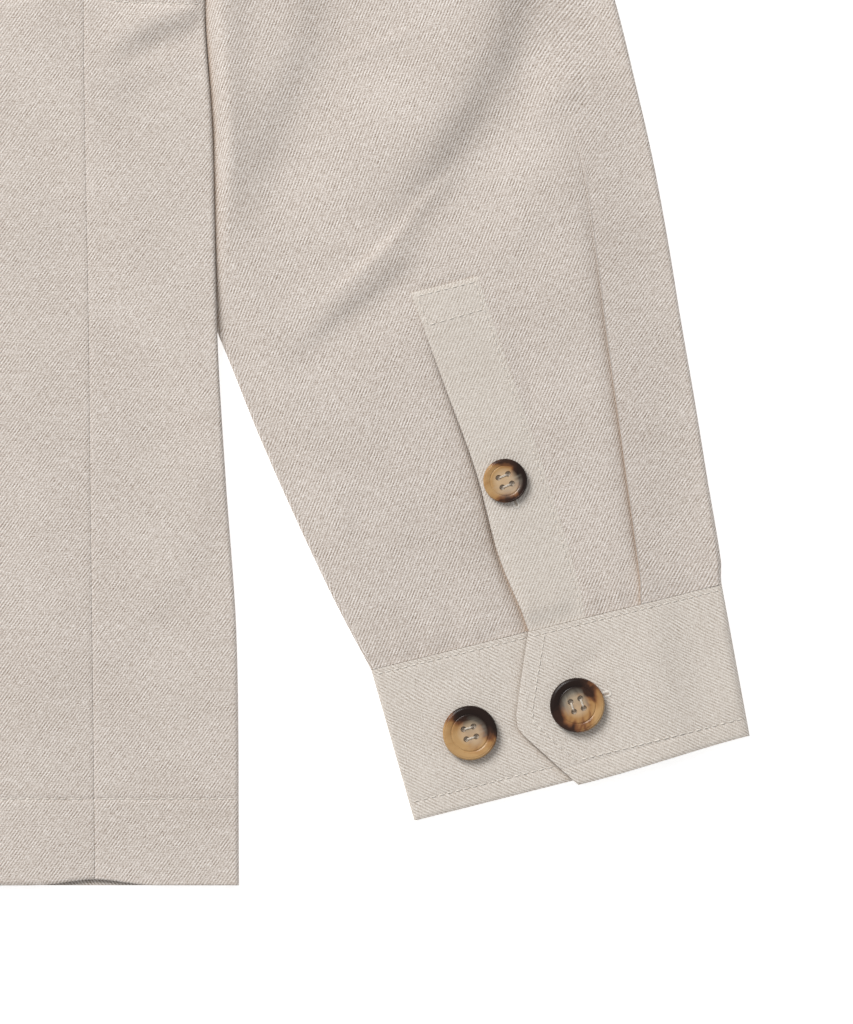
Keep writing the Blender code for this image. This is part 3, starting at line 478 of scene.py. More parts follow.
def beside_armhole(share, away):
    """Points at a distance outside the armhole's edge."""
    ahead = armhole(np.minimum(1, np.asarray(share) + 0.01))
    behind = armhole(np.maximum(0, np.asarray(share) - 0.01))
    along = ahead - behind
    along /= np.linalg.norm(along, axis=-1, keepdims=True)
    return armhole(share) + np.stack([along[..., 1], -along[..., 0]], -1) * away


def gap_to(outline, points):
    """How far points lie outside a closed outline in plan, and 0 inside it."""
    a = np.array(outline)
    b = np.roll(a, -1, axis=0)
    along = b - a
    p = points[..., None, :]
    t = np.clip(((p - a) * along).sum(-1) / (along**2).sum(-1), 0, 1)
    away = np.linalg.norm(p - a - t[..., None] * along, axis=-1).min(-1)
    x, y = points[..., 0, None], points[..., 1, None]
    rise = np.where(along[:, 1] == 0, 1e-12, along[:, 1])
    crossed = ((a[:, 1] > y) != (b[:, 1] > y)) & (x < a[:, 0] + along[:, 0] * (y - a[:, 1]) / rise)
    return np.where(crossed.sum(-1) % 2 == 1, 0, away)


def beside(path, points):
    """Distance from an open path, whether it is to the left of it, and the share along it."""
    path = np.array(path)
    a, b = path[:-1], path[1:]
    along = b - a
    long = np.linalg.norm(along, axis=-1)
    p = points[..., None, :]
    t = np.clip(((p - a) * along).sum(-1) / long**2, 0, 1)
    off = p - a - t[..., None] * along
    away = np.linalg.norm(off, axis=-1)
    n = away.argmin(-1)
    pick = np.take_along_axis
    t, away = pick(t, n[..., None], -1)[..., 0], pick(away, n[..., None], -1)[..., 0]
    cross = pick(along[:, 0] * off[..., 1] - along[:, 1] * off[..., 0], n[..., None], -1)[..., 0]
    start = np.concatenate([[0], np.cumsum(long)])
    return away, cross > 0, (start[n] + t * long[n]) / start[-1]


# Outlines in plan: the body's folded edge, the tucked part of a sleeve, and half the body.
FOLD_EDGE = list(zip(listed(BODY_EDGE, "fold"), listed(BODY_EDGE, "y")))
TUCKED = [(s["x"], s["y"]) for s in SLEEVE_SECTIONS[3:]] + [(0.330, 0.452), (0.330, 0.157)]
BODY = (
    [(0.0, 0.0)] + FOLD_EDGE + [tuple(armhole(share)) for share in np.linspace(0.03, 1, 34)]
    + [NECK, (0.0, NECK[1])]
)


def dying(ends, share):
    """How much of a fold there is at a share of its path, with the share over which each end dies out."""
    return smooth(0, ends[0], share) * smooth(1, 1 - ends[1], share)


def fold_height(folds, points, in_photo=True):
    """Height that a table of folds adds at points in plan."""
    total = np.zeros(points.shape[:-1])
    for fold in folds:
        path = [spot(*p) for p in fold["path"]] if in_photo else fold["path"]
        away, left, share = beside(path, points)
        width = np.where(left, fold["left"], fold["right"]) / 1000
        total += fold["rise"] / 1000 * np.exp(-((away / width) ** 2)) * dying(fold["ends"], share)
    return total


def slope_height(slopes, points):
    """Height that a table of slopes adds at points in plan."""
    total = np.zeros(points.shape[:-1])
    for slope in slopes:
        away, left, share = beside([spot(*p) for p in slope["path"]], points)
        across = np.where(left, away, -away) * 1000
        side = -across / np.hypot(across, slope["half"])
        levels = np.exp(-((across / slope["reach"]) ** 2))
        total += slope["fall"] / 2000 * side * levels * dying(slope["ends"], share)
    return total


def cusp(away, near, far):
    """The sag of cloth that runs in under a folded edge: steep at the edge and gentle farther out."""
    return -(0.55 * np.exp(-away / near) + 0.45 * np.exp(-away / far))


def ripple(points, size, seed):
    """A soft unevenness of about the given height, the same on each run."""
    turns = np.random.default_rng(seed)
    total = np.zeros(points.shape[:-1])
    for _ in range(RIPPLES):
        angle, length, phase = turns.uniform(0, math.pi), turns.uniform(*RIPPLE_LENGTHS), turns.uniform(0, 6.28)
        along = points[..., 0] * math.cos(angle) + points[..., 1] * math.sin(angle)
        total += np.sin(2 * math.pi * along / length + phase)
    return total * size / 4


def mirror(points):
    """Points moved over to the wearer's left."""
    return np.concatenate([np.abs(points[..., :1]), points[..., 1:]], -1)


def lift(points):
    """How far the sleeves that are tucked under the body lift it."""
    return LIFT * (1 - smooth(*TUCK_RISE, gap_to(TUCKED, mirror(points))))


def body_relief(points, seed):
    """Height that its folds add to the body, and none at its folded edge."""
    half = mirror(points)
    height = fold_height(BODY_FOLDS, half) + fold_height(HIDDEN_FOLDS, half, in_photo=False)
    height += slope_height(BODY_SLOPES, half) + ripple(points, BODY_RIPPLE, seed)
    return height * smooth(*EDGE_FREE, beside(FOLD_EDGE, half)[0])


def body_levels(x, level):
    """Height in plan of the body's rows at x, straight at the hem and following the armhole at the top."""
    seam_x, seam_y = armhole(SIDE_SEAM_AT)
    curve_x, curve_y = armhole(np.linspace(SIDE_SEAM_AT, 0, 40)).T
    top = np.where(x <= seam_x, PIN + (seam_y - PIN) * (x / seam_x) ** 3, np.interp(x, curve_x, curve_y))
    return level + (level / PIN) ** 6 * (top - PIN)


def neck_line(x, front):
    """The neck's edge in plan, or the shoulder seam where x is past the neck."""
    shoulder = NECK[1] + (SHOULDER[1] - NECK[1]) * (x - NECK[0]) / (SHOULDER[0] - NECK[0])
    inside = np.clip(x / NECK[0], 0, 1)
    neck = BACK_NECK + (NECK[1] - BACK_NECK) * inside**2.2 + UNDER_STAND * np.sin(math.pi * inside)
    if front:
        across = np.clip((x - BAND_HALF) / (NECK[0] - BAND_HALF), 0, 1)
        neck = NECK[1] - (NECK[1] - FRONT_NECK) * np.sqrt(1 - across**2)
    return np.where(x >= NECK[0], shoulder, neck)


def hem_rise(points):
    """How far the front hem is drawn up where it gapes at the side seam."""
    at_seam = smooth(1, 0, np.abs(np.abs(points[..., 0]) - BODY_EDGE[0]["seam"]) / HEM_RISE_HALF)
    return HEM_RISE * at_seam * smooth(HEM_RISE_DEEP, 0, points[..., 1])


def body_plan(lows, fan, levels, stops, front):
    """Plan points of a front or half the back, row by row from the hem to the shoulder and neck."""
    seam_top = armhole(SIDE_SEAM_AT)[0]
    x = np.array(lows)[None, :] + 0 * np.array(levels)[:, None]
    x = x + (through(BODY_EDGE, "seam", levels)[:, None] - seam_top) * smooth(PANEL_FROM, seam_top, x)
    low = np.stack([x, body_levels(np.minimum(x, seam_top), np.array(levels)[:, None])], -1)
    if front:
        low[..., 1] += hem_rise(low)
    # Above the side seam each row lies between four edges: the last level, the middle, the armhole and the top.
    first = low[-1]
    high_x = np.interp(lows, *np.array(fan).T)
    high = np.stack([high_x, neck_line(high_x, front)], -1)
    right = armhole(stops)
    up = ((right[:, 1] - right[0, 1]) / (right[-1, 1] - right[0, 1]))[:, None, None]
    across = ((first[:, 0] - first[0, 0]) / (first[-1, 0] - first[0, 0]))[None, :, None]
    left = first[0] * (1 - up) + high[0] * up
    edges = first * (1 - up) + high * up + left * (1 - across) + right[:, None] * across
    ends = (first[0] * (1 - across) + first[-1] * across) * (1 - up)
    ends = ends + (high[0] * (1 - across) + high[-1] * across) * up
    return np.concatenate([low, (edges - ends)[1:]])


def arc(centre, away, low, high, steps=FOLD_STEPS):
    """Points round a fold from its top to its underside, bulging away from centre in plan."""
    radius = (high - low) / 2
    angle = math.pi * np.arange(1, steps) / steps
    out = radius[..., None] * np.sin(angle)
    z = high[..., None] - radius[..., None] * (1 - np.cos(angle))
    return np.concatenate([centre[:, None] + away[:, None] * out[..., None], z[..., None]], -1)


def with_z(points, z):
    """Points in plan with their heights."""
    return np.concatenate([points, np.broadcast_to(z, points.shape[:-1])[..., None]], -1)


def across_rows(start, end, shares):
    """Points in plan at shares of the way from each row's start to its end."""
    return start[:, None] + (end - start)[:, None] * shares[..., None]


def round_tube(start, end, along, fold, columns):
    """A flat tube's turn at its outer edge, its underside, and its turn at its inner edge."""
    flat, full = np.zeros(len(start)), np.full(len(start), 2 * fold)
    outer, inner = arc(end, along, flat, full), arc(start, -along, flat, full)
    inner[..., 2] = 2 * fold - inner[..., 2]
    return outer, with_z(across_rows(start, end, np.linspace(1, 0, columns)), 0), inner


def grain(points, angle, shift=(0.0, 0.0)):
    """Cloth coordinates in millimetres, for cloth whose warp is turned by angle from Y."""
    c, s = math.cos(math.radians(angle)), math.sin(math.radians(angle))
    x, y = points[..., 0], points[..., 1]
    return np.stack([(x * c + y * s) * 1000 + shift[0], (y * c - x * s) * 1000 + shift[1]], -1)


def unroll(points, angle, shift=(0.0, 0.0), closed=False):
    """Cloth coordinates that run on round a fold, so that the weave isn't stretched there."""
    if closed:
        points = np.concatenate([points, points[:, :1]], 1)
    flat = grain(points, angle)
    step = np.hypot(np.diff(flat[..., 0], axis=1), np.diff(points[..., 2], axis=1) * 1000)
    across = flat[:, :1, 0] + np.concatenate([np.zeros((len(flat), 1)), np.cumsum(step, 1)], 1)
    return np.stack([across, flat[..., 1]], -1) + np.array(shift)


def add(name, mesh):
    """An object in the jacket's collection."""
    obj = bpy.data.objects.new(name, mesh)
    jacket.objects.link(obj)
    return obj


def shell(name, points, uv, thickness=SHELL, rounded=0.0, closed=False, left_out=None, paint=None, crease=None):
    """Makes a shell of cloth from a grid of points on its outer face, and gives it its thickness inward."""
    rows, count = points.shape[:2]
    across = count if closed else count - 1
    i, j = np.mgrid[0 : rows - 1, 0:across]
    keep = np.ones(i.shape, bool) if left_out is None else ~left_out[: rows - 1, :across]
    i, j = i[keep], j[keep]
    k = (j + 1) % count
    faces = np.stack([i * count + j, i * count + k, (i + 1) * count + k, (i + 1) * count + j], -1)
    corners = np.stack([uv[i, j], uv[i, j + 1], uv[i + 1, j + 1], uv[i + 1, j]], 1)
    used = np.unique(faces)
    renumber = np.zeros(rows * count, int)
    renumber[used] = np.arange(len(used))
    verts = (points.reshape(-1, 3)[used] - (0, MIDDLE, 0)).tolist()
    faces = renumber[faces].tolist()
    mesh = bpy.data.meshes.new(name)
    mesh.from_pydata(verts, [], faces)
    mesh.uv_layers.new(name=CLOTH_MAP).data.foreach_set("uv", corners.reshape(-1, 2).ravel())
    # The shade painted into creases rides on the points as an attribute.
    if crease is not None:
        shade = mesh.attributes.new(CREASE_SHADE_MAP, "FLOAT", "POINT")
        shade.data.foreach_set("value", crease.ravel()[used].astype(np.float32))
    mesh.shade_smooth()
    mesh.materials.append(paint or twill)
    obj = add(name, mesh)
    tops[name] = BVHTree.FromPolygons(verts, faces)
    solid = obj.modifiers.new("thickness", "SOLIDIFY")
    solid.thickness = thickness
    solid.offset = -1
    if rounded:
        bevel = obj.modifiers.new("rounded edge", "BEVEL")
        bevel.width = rounded
        bevel.segments = 2
        bevel.limit_method = "ANGLE"
        bevel.angle_limit = math.radians(55)
        bevel.harden_normals = False
    return obj


def both_sides(name, points, uv_of, left_out=None, crease=None, closed=False, **facts):
    """Makes a piece for the wearer's left and its mirror image for the right."""
    shell(f"{name}_left", points, uv_of(points, 1), left_out=left_out, crease=crease, closed=closed, **facts)
    turned = points[:, ::-1] * (-1, 1, 1)
    if left_out is not None:
        across = points.shape[1] if closed else points.shape[1] - 1
        left_out = left_out[:, :across][:, ::-1]
        if closed:
            left_out = np.roll(left_out, -1, axis=1)
    # The shade painted into creases is mirrored with the points.
    crease = crease[:, ::-1] if crease is not None else None
    shell(f"{name}_right", turned, uv_of(turned, -1), left_out=left_out, crease=crease, closed=closed, **facts)


def places(*knots, step, close=()):
    """Positions from the first knot to the last, about a step apart, with more of them beside those in close."""
    found = set()
    for low, high in zip(knots, knots[1:]):
        found |= set(np.linspace(low, high, max(2, round((high - low) / step) + 1)))
    for knot in close:
        found |= {knot + off for off in BESIDE if knots[0] <= knot + off <= knots[-1]}
    kept = [knots[0]]
    for place in sorted(found):
        if place - kept[-1] > CLOSEST:
            kept.append(place)
    kept[-1] = knots[-1]
    return np.array(kept)


def joined(*parts):
    """Shares in order, without repeats."""
    return np.unique(np.concatenate(parts))


def edge_distance(points):
    """Distances of a grid's points from its first and last column and its first and last row."""
    found = []
    for axis in (1, 0):
        step = np.linalg.norm(np.diff(points, axis=axis), axis=-1)
        start = np.zeros_like(np.take(step, [0], axis=axis))
        run = np.concatenate([start, np.cumsum(step, axis)], axis)
        found += [run, np.take(run, [-1], axis=axis) - run]
    return found


def roll_edges(points, left=0.0, right=0.0, low=0.0, high=0.0):
    """Turns a grid's edges down by these depths, as a folded edge of cloth turns."""
    points = points.copy()
    for depth, away in zip((left, right, low, high), edge_distance(points)):
        points[..., 2] -= depth * (1 - smooth(0, EDGE_TURN, away))
    return points


def groove(away):
    """Depth that a row of stitches draws the cloth down by."""
    return -GROOVE * np.exp(-((away / GROOVE_HALF) ** 2))


def body_height(points, room):
    """The body's outer face: over the tucked sleeves, with its folds and the grooves of its stitching."""
    height = lift(points) + 2 * WALL + room + body_relief(points, seed=4)
    for row in BODY_ROWS:
        height += groove(points[..., 1] - body_levels(np.abs(points[..., 0]), row))
    return height


def front_room(points):
    """Air under a front: less beside its side seam, its shoulder and its neck."""
    x, y = points[..., 0], points[..., 1]
    armhole_x, armhole_y = armhole(np.linspace(SIDE_SEAM_AT, 1, 30)).T
    seam = through(BODY_EDGE, "seam", np.minimum(y, PIN))
    edge = np.where(y < armhole_y[0], seam, np.interp(y, armhole_y, armhole_x))
    side = SIDE_ROOM + (ROOM - SIDE_ROOM) * np.clip((edge - x) / ROOM_RUNS[0], 0, 1)
    top = NECK_ROOM + (ROOM - NECK_ROOM) * np.clip((neck_line(x, True) - y) / ROOM_RUNS[1], 0, 1)
    return np.minimum(side, top)


def raised(x):
    """How far the left front is raised where it laps over the right."""
    return STEP * (1 - np.clip((x - BAND_HALF) / BAND_RUN, 0, 1))


def level_rows():
    """The body's levels from the hem to the armhole, and the armhole's stops above them."""
    levels = places(0, *BODY_ROWS, PIN, step=0.0040, close=(0, *BODY_ROWS))
    return levels, np.concatenate([np.linspace(SIDE_SEAM_AT, 0.985, 34), [0.995, 1.0]])


def make_fronts():
    """The two fronts, of which the left is raised where it laps over the right, and the band."""
    levels, stops = level_rows()
    seam = armhole(SIDE_SEAM_AT)[0]
    lows = places(-BAND_HALF, BAND_HALF, PANEL_FROM, seam, step=0.0042, close=(-BAND_HALF, seam))
    plan = body_plan(lows, FRONT_FAN, levels, stops, front=True)
    plan[: len(levels), -1, 0] -= SEAM_GAP
    height = body_height(plan, front_room(plan))
    turns = dict(left=0.0003, right=SEAM_TURN, low=0.0004, high=0.0003)
    right = roll_edges(with_z(plan, height), **turns)
    left = roll_edges(with_z(plan, height + raised(plan[..., 0])), **turns)
    shell("cloth_front_left", left, grain(left, 0))
    turned = right[:, ::-1] * (-1, 1, 1)
    shell("cloth_front_right", turned, grain(turned, 0, (310, 140)))
    sewn = BAND_HALF - BAND_ROW
    across = places(-BAND_HALF, BAND_HALF, step=0.003, close=(-BAND_HALF, -BAND_HALF + BAND_ROW, sewn, BAND_HALF))
    strip = np.stack(np.broadcast_arrays(across, plan[:, lows <= BAND_HALF + 1e-6][:, -1:, 1]), -1)
    height = body_height(strip, front_room(strip)) + 2 * STEP
    for edge in (-1, 1):
        height += groove(strip[..., 0] - edge * sewn)
    band = roll_edges(with_z(strip, height), left=0.0004, right=0.0004, low=0.0004, high=0.0003)
    shell("cloth_front_band", band, grain(band, 0, (77, 431)), thickness=FACED, rounded=0.0003)


def make_back():
    """The back, with its side panels that come forward round each side to the seams."""
    levels, stops = level_rows()
    seam_x = armhole(SIDE_SEAM_AT)[0]
    lows = np.concatenate([np.linspace(0, PANEL_FROM, 16), np.linspace(PANEL_FROM, seam_x, 9)[1:]])
    half = body_plan(lows, BACK_FAN, levels, stops, front=False)
    all_levels = np.concatenate([levels, np.full(len(half) - len(levels), PIN)])
    seam = through(BODY_EDGE, "seam", all_levels)[:, None]
    edge = through(BODY_EDGE, "fold", all_levels)[:, None] - BODY_FOLD
    across = joined(places(0, 1, step=0.07), [0.006, 0.016, 0.03, 0.985])
    y = body_levels(seam_x + (ARMPIT[0] - seam_x) * across, all_levels[:, None])
    wrap = np.stack([seam + (edge - seam) * across, y], -1)
    over = wrap.copy()
    over[..., 1] += hem_rise(over)
    top = with_z(over, body_height(over, SIDE_ROOM))
    centre = wrap[:, -1]
    rise = lift(centre)
    fold = arc(centre, np.broadcast_to((1.0, 0.0), centre.shape), rise, rise + 2 * BODY_FOLD)
    low = with_z(wrap[:, ::-2], lift(wrap[:, ::-2]))[:, :-1]
    under = with_z(half[:, ::-1], lift(half[:, ::-1]))
    left = np.concatenate([top, fold, low, under], 1)
    ring = np.concatenate([left, left[:, -2::-1] * (-1, 1, 1)], 1)
    turned = top.shape[1] + fold.shape[1] + low.shape[1]
    left_out = np.zeros(ring.shape[:2], bool)
    left_out[len(levels) - 1 :, :turned] = True
    left_out[len(levels) - 1 :, ring.shape[1] - 1 - turned :] = True
    ring = roll_edges(ring, left=SEAM_TURN, right=SEAM_TURN)
    ring[0, : top.shape[1], 2] -= HEM_PRESSED
    ring[0, -top.shape[1] :, 2] -= HEM_PRESSED
    shell("cloth_back", ring, unroll(ring, 0, (93, 27)), left_out=left_out)


def sleeve_plan():
    """Plan of a sleeve: each row's start, end, direction and shares of the placket and pleat, its place
    in the order of the sections, and how many rows are a whole tube."""
    knots = np.arange(len(SLEEVE_SECTIONS))
    at = np.concatenate(
        [[0.01, 0.03], places(0, 1, FINE_SECTIONS, step=0.05), places(FINE_SECTIONS, CLOSED_SECTIONS, step=0.09)]
    )
    at = np.unique(np.round(at, 6))
    columns = {key: curve(knots, listed(SLEEVE_SECTIONS, key), at) for key in SLEEVE_SECTIONS[0]}
    stop_knots = listed(MOUTH_SECTIONS, "stop")
    stops = places(*stop_knots, step=0.02)
    start = np.concatenate([np.stack([columns["x"], columns["y"]], -1), beside_armhole(stops, GAP)])
    outer_y = np.concatenate([columns["outer_y"], curve(stop_knots, listed(MOUTH_SECTIONS, "outer_y"), stops)])
    shares = [np.pad(columns[key], (0, len(stops)), "edge") for key in ("left", "right", "pleat")]
    end = np.stack([through(SLEEVE_OUTER, "x", outer_y), outer_y], -1)
    along = end - start
    along /= np.linalg.norm(along, axis=-1, keepdims=True)
    tube = (np.arange(len(start)) < len(at))[:, None]
    start = start + along * SLEEVE_FOLD * tube
    end = end - along * SLEEVE_FOLD
    past_tube = np.arange(1, len(stops) + 1) / len(stops) * len(MOUTH_SECTIONS)
    order = np.concatenate([at, CLOSED_SECTIONS + past_tube])
    return start, end, along, [share[:, None] for share in shares], order[:, None], len(at)


def cuff_top(share):
    """Height of a cuff's outer face along its seam with the sleeve."""
    lapped = smooth(CUFF_LAP[0][1] - 0.02, CUFF_LAP[0][1] + 0.02, share) * (1 - smooth(*CUFF_RAMP, share))
    return CUFF_TOP_LOW + (CUFF_TOP_HIGH - CUFF_TOP_LOW) * lapped


def beside_body(start, end, width, left):
    """Shares across each row of a sleeve up to its placket, close together beside the body's edge."""
    t = np.linspace(0, 1, 500)
    hidden = gap_to(BODY, across_rows(start, end, t)) == 0
    crossing = np.where(hidden.any(1), t[len(t) - 1 - hidden[:, ::-1].argmax(1)], 0)
    crossing = np.convolve(np.pad(crossing, 2, "edge"), np.ones(5) / 5, "valid")
    crossing = np.maximum(crossing, 0.04)[:, None]
    beneath = np.maximum(crossing - BENEATH / width, 0.9 * crossing)
    hidden_part = crossing * np.concatenate([[0, 0.08, 0.2], np.linspace(0, 0.9, 9)[3:-1]])
    far = np.linspace(CLOSE_SHARES[-1], 1, 25)[1:-1]
    open_part = crossing + (left - crossing) * np.concatenate([CLOSE_SHARES, far, [0.972, 0.986, 0.995, 1]])
    return np.sort(np.concatenate([hidden_part, beneath, open_part], 1), 1)


def sleeve_columns(start, end, width, left, right, pleat):
    """Shares across each row of a sleeve, close together beside the body, the placket and the pleat."""
    wide = np.maximum(width, SHORT_ROW)
    after = BESIDE_PLEAT[-1] / wide
    parts = [
        beside_body(start, end, width, left),
        left + (right - left) * np.linspace(0, 1, 10)[1:],
        right + BESIDE_PLACKET / wide,
        right + (pleat - right) * np.linspace(0, 1, 12)[1:-1],
        pleat + BESIDE_PLEAT / wide,
        pleat + after + (1 - pleat - after) * np.concatenate([np.linspace(0, 1, 11)[1:-1], [0.96, 0.985, 1]]),
    ]
    return np.concatenate(parts, 1)


def sleeve_loft(plan, order, clear, gape, sides):
    """Height of a sleeve's top: the air in it, and beside the body's edge the hold of its round side."""
    out_by = np.where(clear > 0, clear, -beside(FOLD_EDGE, plan)[0])
    puff = PUFF * (0.5 + 0.5 * smooth(1, FINE_SECTIONS, order))
    height = 2 * SLEEVE_FOLD + puff * smooth(*PUFF_RUN, out_by - gape) * sides
    under_edge = np.clip(BODY_FOLD + out_by, 0, BODY_FOLD)
    nest = lift(plan) + BODY_FOLD - np.sqrt(BODY_FOLD**2 - under_edge**2) - NEST_CLEAR
    hold = smooth(*HOLD_OUT, out_by) * smooth(CLOSED_SECTIONS, CLOSED_SECTIONS - 1, order) * sides
    hold = hold * smooth(HOLD_IN, -BODY_FOLD, out_by) * (1 - HOLD_LOSS * np.clip(gape / WIDEST_GAPE, 0, 1))
    return height + np.clip(nest - height, 0, None) * hold


def seam_height(height, columns, width, order, sides):
    """Brings a sleeve's top down to the cuff's seam, where it swells and puckers."""
    near = smooth(SEAM_SECTIONS, 0, order)
    seam = cuff_top(columns) - SEAM_SUNK + SEAM_SWELL * smooth(0, 0.25, order)
    height = height * (1 - near) + seam * near
    puckers = PUCKER * np.sin(columns * width / PUCKER_PITCH * 2 * math.pi + 2 * np.sin(columns * 9)) * sides
    return height + puckers * np.exp(-(((order - 0.25) / 0.28) ** 2)) * smooth(0, 0.12, order)


def pleat_height(past, order):
    """The pleat: the cloth past it lies over the cloth before it, which dips in underneath."""
    made = smooth(*PLEAT_MADE, order)
    dip = PLEAT_DIP["depth"] * cusp(np.abs(past), PLEAT_DIP["near"], PLEAT_DIP["far"])
    rise = PLEAT_RISE * np.exp(-np.abs(past) / PLEAT_RISE_FAR)
    return made * np.where(past < 0, dip * smooth(-0.1, 0.7, order), rise)


def placket_dip(level, plan, columns, order, left, right, before):
    """A sleeve's top where it dips in under the placket's free edge and lies lower beneath it."""
    heights = [-spot(*p)[1] for p in PLACKET_DIP["path"]]
    depth = np.interp(-plan[..., 1], heights, PLACKET_DIP["depths"])
    dip = np.where(before > 0, cusp(np.abs(before), PLACKET_DIP["near"], PLACKET_DIP["far"]), -1)
    inside = columns < right - 1e-9
    height = level + depth * dip * inside * smooth(PLACKET_TOP + 0.35, PLACKET_TOP, order)
    under = (columns > left) & inside & (order <= PLACKET_TOP)
    return np.maximum(np.where(under, np.minimum(height, level - PLACKET_SUNK), height), LOWEST_TOP)


def turned_weave(share, pivot):
    """Cloth coordinates of a sleeve, turned past the pleat, as the pleat takes up a wedge of the cloth."""

    def weave(points, side):
        flat = unroll(points, SLEEVE_GRAIN * side, (17, 53) if side > 0 else (401, 211), True)
        part, at = share, pivot
        if side < 0:
            part = np.concatenate([share[:, -2::-1], share[:, -2:-1]], 1)
            at = pivot[0], points.shape[1] - 1 - pivot[1]
        turn = math.radians(PLEAT_TURN * side)
        c, s = math.cos(turn), math.sin(turn)
        off = flat - flat[at]
        turned = np.stack([off[..., 0] * c + off[..., 1] * s, off[..., 1] * c - off[..., 0] * s], -1)
        return (flat + (turned - off) * part[..., None]) * SLEEVE_WEAVE

    return weave


def sleeve_crease_shade(plan, order, clear, gape, past, before):
    """The shade painted on a sleeve's top in its creases beside the body, the pleat and the placket."""
    side = np.exp(-np.clip(clear - 0.4 * gape, 0, None) / CREASE_SHADE_REACH) * (clear > 0)
    side = side * smooth(*SIDE_SHADE_FROM, plan[..., 1]) * SIDE_SHADE
    pleat = np.exp(-np.abs(past) / CREASE_SHADE_REACH) * (past < 0) * smooth(4.6, 1.5, order) * PLEAT_SHADE
    placket = np.exp(-np.abs(before) / 0.0012) * (before > 0) * smooth(3.6, 0.6, order)
    placket = placket * smooth(PLACKET_TOP, PLACKET_TOP - 1, order)
    return np.max([side, pleat, placket], axis=0)


def make_sleeves():
    """Each sleeve, a flat tube that is tucked under the body, and its placket."""
    start, end, along, (left, right, pleat), order, tube_rows = sleeve_plan()
    width = np.linalg.norm(end - start, axis=-1)[:, None]
    columns = sleeve_columns(start, end, width, left, right, pleat)
    plan = across_rows(start, end, columns)
    past, before = (columns - pleat) * width, (left - columns) * width
    clear = gap_to(BODY, plan)
    gape = np.interp(plan[..., 1], *np.array(SIDE_GAPE).T) / 1000
    sides = np.maximum(smooth(0, 0.10, columns), 0.9 * smooth(7.6, 8.8, order)) * smooth(1, 0.80, columns)
    height = sleeve_loft(plan, order, clear, gape, sides)
    relief = fold_height(SLEEVE_FOLDS, plan) + slope_height(SLEEVE_SLOPES, plan) + ripple(plan, CLOTH_RIPPLE, 8)
    height += relief * smooth(0.001, 0.007, clear) * smooth(0, 0.05, columns) * smooth(1, 0.96, columns)
    level = seam_height(height, columns, width, order, sides) + pleat_height(past, order)
    top = with_z(plan, placket_dip(level, plan, columns, order, left, right, before))
    outer, low, inner = round_tube(start, end, along, SLEEVE_FOLD, 14)
    ring = np.concatenate([top, outer, low, inner], 1)
    left_out = np.zeros(ring.shape[:2], bool)
    left_out[tube_rows - 1 :, -inner.shape[1] - 1 :] = True
    spread = np.clip((order - 4.6) / 4, 1e-4, 1)
    share = smooth(0, 1, (past + 0.030 * spread) / (0.080 * spread)) * smooth(11, PLEAT_PIVOT, order)
    falling = np.concatenate([np.ones(outer.shape[1]), np.linspace(1, 0, low.shape[1]), np.zeros(inner.shape[1])])
    share = np.concatenate([share, share[:, -1:] * falling, share[:, :1] * 0], 1)
    pivot = int(np.searchsorted(order[:, 0], PLEAT_PIVOT)), int(np.argmin(np.abs(past[0])))
    # The shade painted into the sleeve's creases.
    crease = sleeve_crease_shade(plan, order, clear, gape, past, before)
    crease = np.pad(crease, ((0, 0), (0, ring.shape[1] - crease.shape[1])))
    both_sides("cloth_sleeve", ring, turned_weave(share, pivot), closed=True, left_out=left_out, crease=crease)
    make_plackets(start, end, left, right, order, columns, level)


def make_plackets(start, end, left, right, order, columns, sleeve_height):
    """Each sleeve's placket, which lies on the sleeve's own level."""
    rows = order[:, 0] <= PLACKET_TOP + 1e-6
    left, right, order = left[rows], right[rows], order[rows]
    across = places(0, PLACKET_WIDTH, step=0.0024, close=(0, PLACKET_WIDTH - EDGE_STITCH, PLACKET_WIDTH))
    across = across / PLACKET_WIDTH
    at = left + (right - left) * across
    plan = across_rows(start[rows], end[rows], at)
    height = np.array([np.interp(*row) for row in zip(at, columns, sleeve_height)])
    height = height + PLACKET_RISE - PLACKET_FALL * smooth(0.3, 1, across)
    height = height + 0.3 * groove((1 - across) * PLACKET_WIDTH - EDGE_STITCH)
    near = smooth(0.30, 0, order)
    height = height * (1 - near) + (CUFF_TOP_HIGH - 0.0001) * near
    band = roll_edges(with_z(plan, height), left=0.00015, high=0.0001)

    def weave(points, side):
        return grain(points, SLEEVE_GRAIN * side, (211, 19 * side)) * SLEEVE_WEAVE

    both_sides("cloth_sleeve_placket", band, weave, thickness=DOUBLE, rounded=0.00012, paint=faced_twill)


